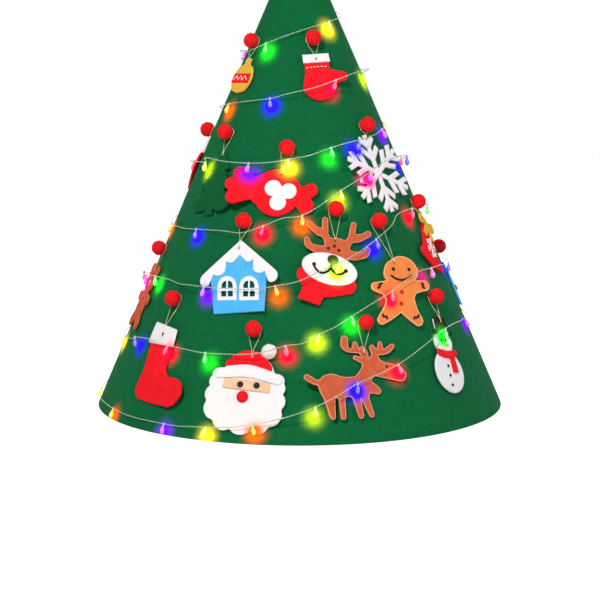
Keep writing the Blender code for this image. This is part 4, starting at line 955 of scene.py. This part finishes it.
cut_edge("reindeer", BROWN_EDGE_HIGHLIGHT, 0.9)
dots("reindeer", "brow", [(-10.7, -6.5), (-3.6, -2.4), (2.3, -6.9)], 2.1, BOARD_FRONT, BROWN_THREAD, 0.4)
dots("reindeer", "smile_end", [(-26.7, -29.8), (12.3, -31.5)], 2.4, LAYER_FRONT + 0.5)
stitched("reindeer", "left_smile", [(-26.7, -29.8), (-25.8, -32.7), (-22.8, -36.4), (-17.8, -38.7),
                                    (-12.5, -37.5), (-7.8, -33.5), (-5.5, -27.5)], ON_LAYER, 2.7,
         BLACK_THREAD)
stitched("reindeer", "right_smile", [(-5.7, -30.5), (-3.5, -34.2), (1.5, -37.0), (7.5, -36.0), (12.3, -31.5)],
         ON_LAYER, 2.7, BLACK_THREAD)

dots("santa", "eye", [(-7.2, 11.7), (12.4, 12.7)], 3.7, LAYER_FRONT, thick=0.8)
stitched("santa", "nose_ring", circle(-2.5, -2.0, 4.9, count=24), LAYER_FRONT + 0.95, 1.1, RED_THREAD,
         steps=1, closed=True)
glued("stocking", "slit", circle(-0.8, -1.2, 1.0, 2.8, count=14, tilt=8), LAYER_FRONT + 0.2, BLACK_THREAD,
      0.4, fray=0.02, **FINE)
cut_edge("deer", BROWN_EDGE_HIGHLIGHT)
dots("deer", "eye", [(64, 24)], 1.4, BOARD_FRONT)

for step in range(6):
    for name, line, width, steps in (("arm", ((0, 1.5), (0, 7.5), (0, 14.0)), 1.7, 2),
                                     ("twig", ((-3.6, 11.8), (0, 8.2), (3.6, 11.8)), 1.5, 1)):
        turned = [Vector((3, -58)) + Matrix.Rotation(radians(60 * step), 2) @ Vector(spot) for spot in line]
        stitched("bell", "flake_%s_%d" % (name, step), turned, ON_BOARD, width, WHITE_THREAD, steps=steps)

# The figures that the photograph does not show are finished in the same manner
dots("snowman", "eye", [(-4.5, -27.5), (4.5, -27.5)], 1.4, BOARD_FRONT)
glued("snowman", "carrot", [(-1.6, -31), (9.5, -33.5), (-1.2, -34.5)], BOARD_FRONT, FELTS["ginger_felt"],
      1.2, **FINE)
dots("snowman", "button", [(-2, -60), (-2, -72), (-2, -84)], 1.9, BOARD_FRONT, thick=0.8)
dots("bear", "eye", [(-5.5, -37), (5.5, -37)], 1.5, BOARD_FRONT)
glued("bear", "snout", circle(0, -44, 7.0, 5.2), BOARD_FRONT, FELTS["skin_felt"], 1.2)
dots("bear", "nose", [(0, -42)], 1.8, BOARD_FRONT + 1.2)
dots("bear", "button", [(0, -66), (0, -76)], 1.9, BOARD_FRONT, RED_THREAD, 0.8)
glued("mitten", "cuff", [(-16.5, -20), (16.5, -20), (17, -31), (-17, -31)], BOARD_FRONT,
      FELTS["white_felt"], 1.6, puff=0.5, puff_reach=5, holes=[circle(0, -26, 1.5, count=10)])
dashes("mitten", [(-14, -37), (0, -36), (14, -37)])
glued("bauble", "band", [(-19, -42), (19, -42), (20.5, -54), (-20.5, -54)], BOARD_FRONT, FELTS["red_felt"],
      1.2)
stitched("bauble", "zigzag", [(-16, -51), (-10, -45), (-5, -51), (0, -45), (5, -51), (10, -45), (16, -51)],
         BOARD_FRONT + 1.5, 1.1, WHITE_THREAD, steps=1)
stitched("star_cookie", "icing", inset(board("star_cookie"), 4.0), BOARD_FRONT + 0.2, 1.6, WHITE_THREAD,
         steps=1, closed=True)
glued("gift", "ribbon_down", [(-3.5, -33), (3.5, -33), (3.5, -77), (-3.5, -77)], BOARD_FRONT,
      FELTS["red_felt"], 1.2)
glued("gift", "ribbon_across", [(-24, -51), (24, -51), (24, -58), (-24, -58)], BOARD_FRONT + 1.0,
      FELTS["red_felt"], 1.2)
love = inset(board("heart"), 3.2)
dashes("heart", love + love[:1])
for number, (x, y, tilt) in enumerate(((5, -85, 30), (5, -73, 30), (5, -61, 30), (5, -49, 30), (5, -37, 20),
                                       (-3.5, -25.5, -70))):
    stripe = [Vector((x, y)) + Matrix.Rotation(radians(tilt), 2) @ Vector(corner)
              for corner in ((-3.6, -1.5), (3.6, -1.5), (3.6, 1.5), (-3.6, 1.5))]
    glued("candy_cane", "stripe_%d" % number, stripe, BOARD_FRONT, FELTS["red_felt"], 0.6, **FINE)


# Pompoms


def pompom_mesh(name, radius, squash, seed, strands=900):
    """A cut yarn pompom about its middle, in millimetres: a lumpy core with strands standing out of it."""
    rng = random.Random(seed)
    points, faces = [], []
    rows, columns = 16, 24
    core = radius * 0.86
    for row in range(rows + 1):
        tip = pi * row / rows
        for turn in turns(columns):
            way = Vector((sin(tip) * cos(turn), sin(tip) * sin(turn), cos(tip)))
            bump = 1 + 0.07 * noise.noise(way * 4 + Vector((seed, 0, 0)))
            points.append(way * core * bump)
    for row in range(rows):
        for column in range(columns):
            after = (column + 1) % columns
            a, b = row * columns, (row + 1) * columns
            faces.append((a + column, b + column, b + after, a + after))
    for number in range(strands):
        height = 1 - 2 * (number + 0.5) / strands
        turn = number * pi * (3 - 5 ** 0.5)
        flat = (1 - height * height) ** 0.5
        way = Vector((flat * cos(turn), flat * sin(turn), height))
        lean = Vector((rng.uniform(-1, 1), rng.uniform(-1, 1), rng.uniform(-1, 1))) * 0.28
        aim = (way + lean).normalized()
        root = way * core * 0.92
        length = radius * rng.uniform(0.93, 1.02) - core * 0.92
        side = aim.orthogonal().normalized()
        other = aim.cross(side)
        wide = rng.uniform(0.30, 0.48)
        first = len(points)
        middle = root + aim * length * 0.6
        for place, thick in ((root, wide), (middle, wide * 0.85)):
            points += ring_of(place, side, other, thick, 3)
        points.append(root + aim * length)
        faces += [(first + 2, first + 1, first)]
        for step in range(3):
            after = (step + 1) % 3
            faces.append((first + step, first + after, first + 3 + after, first + 3 + step))
            faces.append((first + 3 + step, first + 3 + after, first + 6))
    flat_back = -squash
    made = []
    for point in points:
        z = point.z if point.z > flat_back else flat_back + (point.z - flat_back) * 0.06
        made.append((point.x * MM, point.y * MM, z * MM))
    return build_mesh(name, made, faces, 40)


POMPOM_MESHES = [pompom_mesh("pompom_yarn_%d" % seed, POMPOM_RADIUS, POMPOM_MIDDLE - 0.4, seed)
                 for seed in range(4)]
for number, name in enumerate(FIGURES):
    # The deer's is a little smaller, so that the gingerbread figure swings past it
    spin = Matrix.Rotation(number * 2.4, 4, "Z") @ Matrix.Scale(0.94 if name == "deer" else 1, 4)
    ball = put(name + "_pompom", POMPOM_MESHES[number % 4], RED_YARN, "tree",
               PEGS[name]["seat"] @ Matrix.Translation((0, 0, POMPOM_MIDDLE * MM)) @ spin)
    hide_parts(name + "_peg")
low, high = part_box("santa_pompom")
hat_middle = (Vector(low) + Vector(high)) / 2
hat_flat = PEGS["santa"]["seat"].inverted() @ hat_middle
hat_seat = PEGS["santa"]["seat"] @ Matrix.Translation((hat_flat.x, hat_flat.y, LAYER_BACK * MM))
hat_ball = pompom_mesh("hat_pompom_yarn", HAT_POMPOM_RADIUS, 0.3, 9, 700)
ball = put("santa_hat_pompom", hat_ball, WHITE_YARN, "santa_ornament", hat_seat)
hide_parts("santa_pompom")


# The string of lights


def sway(azimuth, turn):
    """The string's height off a plain helix."""
    for index in range(len(SWAY_AZIMUTHS) - 1):
        low, high = SWAY_AZIMUTHS[index], SWAY_AZIMUTHS[index + 1]
        if low <= azimuth <= high:
            share = smoothstep((azimuth - low) / (high - low)) * 0.3 + 0.7 * (azimuth - low) / (high - low)
            value = SWAY_SHARES[index] + (SWAY_SHARES[index + 1] - SWAY_SHARES[index]) * share
    low = min(int(turn + 1), len(SWAY_BY_TURN_SHARES) - 2)
    part = turn + 1 - low
    factor = SWAY_BY_TURN_SHARES[low] * (1 - part) + SWAY_BY_TURN_SHARES[low + 1] * part
    return value * factor * STRING_PITCH


def bend(winding):
    """A small bend of the string off its sway."""
    for (start, low), (end, high) in zip(STRING_BEND_SHARES, STRING_BEND_SHARES[1:]):
        if start <= winding <= end:
            return (low + (high - low) * smoothstep((winding - start) / (end - start))) * STRING_PITCH
    return 0


def plain_height(winding):
    """The string's height at a winding angle, before it makes way for the pegs."""
    turn = (winding - STRING_REFERENCE_AZIMUTH) / 360
    azimuth = (winding + 180) % 360 - 180
    return STRING_START_HEIGHT + STRING_PITCH * turn + sway(azimuth, turn) + bend(winding)


def string_height(winding):
    """The string's height at a winding angle: near a peg it moves up or down and passes beside it."""
    height = plain_height(winding)
    clear = POMPOM_RADIUS * MM + WIRE_RADIUS + PEG_CLEARANCE
    for peg in PEGS.values():
        past = (winding - peg["azimuth"] + 180) % 360 - 180
        across = radians(past) * cone_radius(height)
        if abs(across) > PEG_REACH:
            continue
        along = (plain_height(winding - past) - peg["height"]) / cos(SLOPE)
        need = max(0, clear - abs(along)) * cos(pi / 2 * across / PEG_REACH) ** 2
        height += (need if along >= 0 else -need) * cos(SLOPE)
    return height


KNOB = Vector((hat_flat.x, hat_flat.y))
for name, peg in PEGS.items():
    peg["inverse"] = peg["seat"].inverted()
    peg["reach"] = max(point.length for outline, _ in FRONTS[name] for point in outline) + 2 * SWING_MARGIN


def height_over(name, point):
    """How high a figure stands over a point in its plane as it swings, or None beside it."""
    turned = [Matrix.Rotation(radians(PEGS[name]["swing"] * share), 2) @ point
              for share in (-1, -0.5, 0, 0.5, 1)]
    knob_reach = HAT_POMPOM_RADIUS * MM + SWING_MARGIN
    if name == "santa" and any((spot - KNOB).length < knob_reach for spot in turned):
        return (LAYER_BACK + HAT_POMPOM_HEIGHT) * MM
    spots = np.array([tuple(spot) for spot in turned])
    height = None
    for outline, front in FRONTS[name]:
        inside, nearest = inside_and_distance(spots, [outline])
        if inside.any() or (nearest < SWING_MARGIN).any():
            height = max(height or 0, front)
    return height


def string_lift(azimuth, height):
    """How far the middle of the wire stands off the cone so that it clears felt and ornaments."""
    lift = felt_lift(azimuth, height)
    for name, peg in PEGS.items():
        for drop in (0, BULB_LENGTH / 2, BULB_LENGTH):
            point = peg["inverse"] @ on_cone(azimuth, height - drop * cos(SLOPE))
            if point.z < -BEHIND or hypot(point.x, point.y) > peg["reach"]:
                continue
            over = height_over(name, Vector((point.x, point.y)))
            if over:
                lift = max(lift, over - point.z)
    return lift + BULB_RADIUS + GAP


def string_route():
    """The wound string's points, and the place and lift of each light."""
    lights = {360 * turn + azimuth: colour for turn, row in enumerate(LIGHTS)
              for azimuth, colour in row.items()}
    windings = [STRING_START_AZIMUTH]
    for winding in sorted(lights):
        gap = winding - windings[-1]
        pieces = max(1, ceil(radians(gap) * cone_radius(string_height(winding)) / WIRE_STEP))
        start = windings[-1]
        windings += [start + gap * (step + 1) / pieces for step in range(pieces)]
    corners = [Vector((winding, string_height(winding))) for winding in windings]
    fine = [start.lerp(end, step / LIFT_SAMPLES) for start, end in zip(corners, corners[1:])
            for step in range(LIFT_SAMPLES)] + [corners[-1]]
    lifts = [string_lift(winding, height) for winding, height in fine]
    route, places = [], []
    for index, (winding, height) in enumerate(corners):
        first, last = max(0, (index - 1) * LIFT_SAMPLES), (index + 1) * LIFT_SAMPLES + 1
        sag = cone_radius(height) * (1 - cos(WIRE_STEP / cone_radius(height) / 2))
        lift = max(lifts[first:last]) + sag
        route.append(on_cone(winding, height + lift * sin(SLOPE), lift))
        if windings[index] in lights:
            places.append((winding, height, lift, lights[windings[index]]))
    return route, places


ROUTE, PLACES = string_route()
EYELET = seat(STRING_START_AZIMUTH - EYELET_BACKSET, EYELET_HEIGHT)
lead = [Vector(point) for point in LEAD_POINTS]
lead += [EYELET @ Vector((0, 0, depth)) for depth in (-LEAD_STANDOFF, -FELT / 2, FELT)]
wire_line = even(curve_through(lead + ROUTE, 12), 0.0016)
strands, thin = twisted(wire_line, WIRE_RADIUS * 0.72, 0.011)
wire_mesh = joined("wire_pair", [tube("strand", strand, thin, 6) for strand in strands])
wire = put("wire_pair", wire_mesh, PVC, "tree")
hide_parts("light_string")


DROP_SIDES = 12


def turned_drop(profile, place):
    """A drop turned about its own length, which runs down the slope from the wire."""
    points = [place @ Vector((radius * cos(turn), -down, radius * sin(turn))) for radius, down in profile
              for turn in turns(DROP_SIDES)]
    return points, closed_rings(len(profile), DROP_SIDES, flipped=True)


COVER_SHARES = ((0.36, 0.00), (0.40, 0.18), (0.58, 0.30), (0.86, 0.45), (1.0, 0.62), (0.96, 0.76),
                (0.78, 0.88), (0.45, 0.96), (0.10, 0.99))
# How white-hot the cover is at each step of its length
COVER_HEAT = (0, 0, 0.35, 0.85, 1, 0.85, 0.4, 0, 0)
CORE_SHARES = ((0.20, 0.16), (0.40, 0.36), (0.66, 0.56), (0.68, 0.72), (0.46, 0.86), (0.12, 0.92))
SOCKET_SHARES = ((0.34, -0.10), (0.46, -0.06), (0.46, 0.16), (0.36, 0.20))
drops = {colour: ([], []) for colour in LAMP_COLOURS}
sockets, glows = [], []
for number, (winding, height, lift, colour) in enumerate(PLACES):
    # The drops hang a little askew, each its own way
    askew = Matrix.Rotation(radians(16) * sin(number * 2.3), 4, "Z")
    # They hang straight down, towards the felt, as far as the felt and the figures behind leave room
    inward = min(asin(min(max(lift - string_lift(winding, height) - GAP, 0) / BULB_LENGTH, 1)), SLOPE)
    raised = seat(winding, height) @ Matrix.Translation((0, 0, lift))
    place = raised @ Matrix.Rotation(inward, 4, "X") @ askew
    glows.append((place @ Vector((0, -BULB_LENGTH * 0.72, 0)), seat(winding, height), colour))
    for shares, store in ((COVER_SHARES, drops[colour][0]), (CORE_SHARES, drops[colour][1]),
                          (SOCKET_SHARES, sockets)):
        profile = [(BULB_RADIUS * reach, BULB_LENGTH * down) for reach, down in shares]
        store.append(turned_drop(profile, place))


for colour, (covers, cores) in drops.items():
    cover_finish, core_finish = lamp_materials(colour)
    name = colour + "_light_covers"
    shell = put(name, merged(name, covers), cover_finish, "tree")
    heats = [heat for _ in covers for heat in COVER_HEAT for _ in range(DROP_SIDES)]
    shell.data.attributes.new("heat", "FLOAT", "POINT").data.foreach_set("value", heats)
    name = colour + "_light_cores"
    core = put(name, merged(name, cores), core_finish, "tree")
    shell.visible_shadow = core.visible_shadow = False
put("light_sockets", merged("light_sockets", sockets), SOCKET, "tree")

# Each light's glow falls on the felt round it
for number, (winding, height, lift, colour) in enumerate(PLACES):
    glow = bpy.data.lights.new("glow_%02d" % number, "POINT")
    glow.color = tuple(0.04 + 0.96 * part for part in linear(LAMP_COLOURS[colour])[:3])
    glow.energy = 0.006
    glow.shadow_soft_size = 0.004
    holder = linked(glow.name, glow)
    holder.location = seat(winding, height) @ Vector((0, -BULB_LENGTH * 0.6, lift + 0.009))


def give_glow(piece):
    """Stores at each point of a felt piece the colour of the lights round it, and how strongly it shows, as a
    glow painted on the felt.
    """
    mesh = piece.data
    count = len(mesh.vertices)
    spots, ways = np.empty(count * 3), np.empty(count * 3)
    mesh.vertices.foreach_get("co", spots)
    mesh.vertex_normals.foreach_get("vector", ways)
    turned = np.array(piece.matrix_world.to_3x3()).T
    spots = spots.reshape(-1, 3) @ turned + np.array(piece.matrix_world.translation)
    ways = ways.reshape(-1, 3) @ turned
    total, colours = np.zeros(count), np.zeros((count, 3))
    for middle, place, colour in glows:
        # Off the felt the glow widens little, so depth counts for less, and it sits level with the light
        off = (spots - np.array(middle)) @ np.array(place.to_3x3())
        near = off[:, 0] ** 2 + off[:, 1] ** 2 + (off[:, 2] * 0.35) ** 2
        close = (near < (3.2 * GLOW_SPREAD) ** 2) & (np.abs(off[:, 2]) < 0.030)
        if not close.any():
            continue
        facing = ways[close] @ np.array(place.col[2][:3])
        weight = np.exp(-near[close] / (2 * GLOW_SPREAD ** 2)) * np.clip(0.3 + facing, 0.05, 1)
        total[close] += weight
        colours[close] += weight[:, None] * np.array(linear(LAMP_COLOURS[colour])[:3])
    if not total.any():
        return
    if mesh.materials[0] == FELTS["black_felt"]:
        total *= BLACK_SHARE
    tint = np.ones((count, 4))
    tint[:, :3] = colours / np.maximum(total, 1e-9)[:, None]
    mesh.attributes.new("glow", "FLOAT_COLOR", "POINT").data.foreach_set("color", tint.ravel())
    shares = np.minimum(total * GLOW_WEIGHT, 1)
    mesh.attributes.new("glow_share", "FLOAT", "POINT").data.foreach_set("value", shares)


# The hard pieces, with their moulded edges eased

for node, finish, width in (("battery_case", CASE_PLASTIC, 0.5), ("battery_cover", CASE_PLASTIC, 0.4),
                            ("switch_slider", SWITCH_PLASTIC, 0.3), ("battery_cell_1", CELL_SLEEVE, 0.4),
                            ("battery_cell_2", CELL_SLEEVE, 0.4), ("hook_strip", HOOK_TAPE, 0.2),
                            ("loop_strip", LOOP_TAPE, 0.2)):
    solid = frame["nodes"][node]
    solid.data.materials.clear()
    solid.data.materials.append(finish)
    rounding = solid.modifiers.new("Rounding", "BEVEL")
    rounding.width = width * MM
    rounding.segments = 2
    rounding.limit_method = "ANGLE"
    rounding.angle_limit = radians(40)


# The star on the tip

STAR_RADIUS, STAR_INNER = 44.0, 20.2
CAP_FOOT, CAP_LIFT, CAP_FELT = 0.5516, 0.0039, 0.002
CROWN = CONE_HEIGHT + (CAP_LIFT + CAP_FELT) / sin(SLOPE)
STAR_MIDDLE = CROWN - 0.016 + STAR_INNER * MM


def star_corners(outer, inner):
    """A five-pointed star, one point up."""
    return [Vector(((inner if step % 2 else outer) * cos(pi / 2 + pi * step / 5),
                    (inner if step % 2 else outer) * sin(pi / 2 + pi * step / 5))) for step in range(10)]


def faceted_star():
    """A star with ridges from its middle to its points, its edges a little blunt, covered in glitter."""
    rim, thick, blunt = 2.5, 7.0, 1.2
    outline = []
    corners = star_corners(STAR_RADIUS, STAR_INNER)
    for index, corner in enumerate(corners):
        if index % 2:
            outline.append(corner)
            continue
        outline += [corner + (beside - corner).normalized() * blunt
                    for beside in (corners[index - 1], corners[index + 1])]
    rings = 10
    points, faces = [], []
    edge = eased(outline, 2.0, 10)
    for sign in (-1, 1):
        for ring in range(rings):
            share = 1 - ring / rings
            for corner in edge:
                height = rim + (thick - rim) * (1 - share)
                grain = noise.noise(Vector((corner.x * share, corner.y * share, sign * 9)) * 1.3) * 0.18
                points.append((corner.x * share, sign * (height + grain), corner.y * share))
        points.append((0, sign * thick, 0))
    count, half = len(edge), rings * len(edge) + 1
    for side in (0, 1):
        first = side * half
        for ring in range(rings - 1):
            for index in range(count):
                after = (index + 1) % count
                a, b = first + ring * count, first + (ring + 1) * count
                quad = (a + index, a + after, b + after, b + index)
                faces.append(quad if side == 0 else tuple(reversed(quad)))
        for index in range(count):
            after = (index + 1) % count
            inner = first + (rings - 1) * count
            face = (inner + index, inner + after, first + rings * count)
            faces.append(face if side == 0 else tuple(reversed(face)))
    for index in range(count):
        after = (index + 1) % count
        faces.append((after, index, half + index, half + after))
    return build_mesh("star_glitter", [(x * MM, y * MM, z * MM) for x, y, z in points], faces, 25)


def star_cap():
    """The felt cap that carries the star: a rolled cone with a soft rim."""
    columns = 64
    rim = 0.0007
    top_inside = TIP_HEIGHT + GAP
    inner_radius = cone_radius(top_inside, CAP_LIFT)
    profile = [(inner_radius * 0.02, top_inside), (inner_radius, top_inside)]
    for step in range(9):
        height = top_inside + (CAP_FOOT + rim - top_inside) * step / 8
        profile.append((cone_radius(height, CAP_LIFT), height))
    for turn in (150, 110, 70, 30):
        lift = CAP_LIFT + CAP_FELT / 2 - cos(radians(180 - turn)) * CAP_FELT / 2
        profile.append((cone_radius(CAP_FOOT + rim, lift), CAP_FOOT + rim * (1 - sin(radians(turn)))))
    for step in range(13):
        height = CAP_FOOT + rim + (CROWN - 0.006 - CAP_FOOT - rim) * step / 12
        profile.append((cone_radius(height, CAP_LIFT + CAP_FELT), height))
    profile.append((0.0009, CROWN - 0.0035))
    points = []
    for radius, height in profile:
        for turn in turns(columns):
            uneven = 1 + 0.012 * noise.noise(Vector((cos(turn) * 2, sin(turn) * 2, height * 90)))
            points.append((radius * uneven * cos(turn), radius * uneven * sin(turn), height))
    return build_mesh("star_cap", points, closed_rings(len(profile), columns, flipped=True), 60)


topper = put("star_glitter", faceted_star(), GLITTER, "star",
             Matrix.Translation((0, 0, STAR_MIDDLE)))
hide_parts("tree_star")
put("star_cap", star_cap(), FELTS["gold_felt"], "star")


for piece in list(bpy.data.objects):
    if piece.type == "MESH" and piece.data.materials and piece.data.materials[0] in FELTS.values():
        give_glow(piece)


# Camera, floor and light

AIM = Vector((0.00042, 0.0, 0.13031))
PITCH, DISTANCE = radians(8.123), 2.0
camera = linked("camera", bpy.data.cameras.new("camera"))
camera.data.lens = 93.07
camera.data.sensor_width = 36.0
camera.data.clip_end = 50
camera.location = AIM + Vector((0, -cos(PITCH), sin(PITCH))) * DISTANCE
camera.rotation_euler = (pi / 2 - PITCH, 0, 0)
bpy.context.scene.camera = camera

floor_finish, tree, output = new_material("pale_studio_floor")
ray = add(tree, "ShaderNodeLightPath")
seen = add(tree, "ShaderNodeMath", {0: ray.outputs["Is Camera Ray"], 1: 0.80}, operation="MULTIPLY")
glow = add(tree, "ShaderNodeEmission", {"Color": (1, 1, 1, 1), "Strength": seen.outputs[0]})
matt = add(tree, "ShaderNodeBsdfDiffuse", {"Color": (0.80, 0.80, 0.80, 1)})
both = add(tree, "ShaderNodeAddShader", {0: matt.outputs[0], 1: glow.outputs[0]})
tree.links.new(both.outputs[0], output.inputs["Surface"])
floor_mesh = bpy.data.meshes.new("floor")
FLOOR_REACH, FLOOR_DROP = 8, 0.0005
floor_corners = [(x * FLOOR_REACH, y * FLOOR_REACH, -FLOOR_DROP)
                 for x, y in ((-1, -1), (1, -1), (1, 1), (-1, 1))]
floor_mesh.from_pydata(floor_corners, [], [(0, 1, 2, 3)])
floor_mesh.materials.append(floor_finish)
floor = linked("floor", floor_mesh)

world = bpy.data.worlds.new("studio")
bpy.context.scene.world = world
world.use_nodes = True
world.node_tree.nodes.clear()
tree = world.node_tree
ray = add(tree, "ShaderNodeLightPath")
shown = add(tree, "ShaderNodeMath", {0: ray.outputs["Is Camera Ray"], 1: ray.outputs["Is Transmission Ray"]},
            operation="MAXIMUM")
shown = add(tree, "ShaderNodeMath", {0: shown.outputs[0], 1: ray.outputs["Is Glossy Ray"]},
            operation="MAXIMUM")
level = ranged(tree, shown.outputs[0], 0.0, 1.0, 0.24, 1.0)
light = add(tree, "ShaderNodeBackground", {"Color": (1, 1, 1, 1), "Strength": level})
add(tree, "ShaderNodeOutputWorld", {"Surface": light.outputs[0]})


def softbox(name, place, aim, size, power):
    """A square studio lamp."""
    lamp = bpy.data.lights.new(name, "AREA")
    lamp.size = size
    lamp.energy = power
    holder = linked(name, lamp)
    holder.location = place
    holder.rotation_euler = (Vector(aim) - Vector(place)).to_track_quat("-Z", "Y").to_euler()


softbox("key", (-0.9, -2.4, 2.3), (0, 0, 0.25), 0.22, 74)
softbox("fill", (2.2, -1.6, 1.2), (0, 0, 0.25), 1.6, 21)
softbox("back", (0.8, 2.4, 2.0), (0, 0, 0.3), 1.6, 22)

bpy.context.scene.view_settings.view_transform = "Standard"
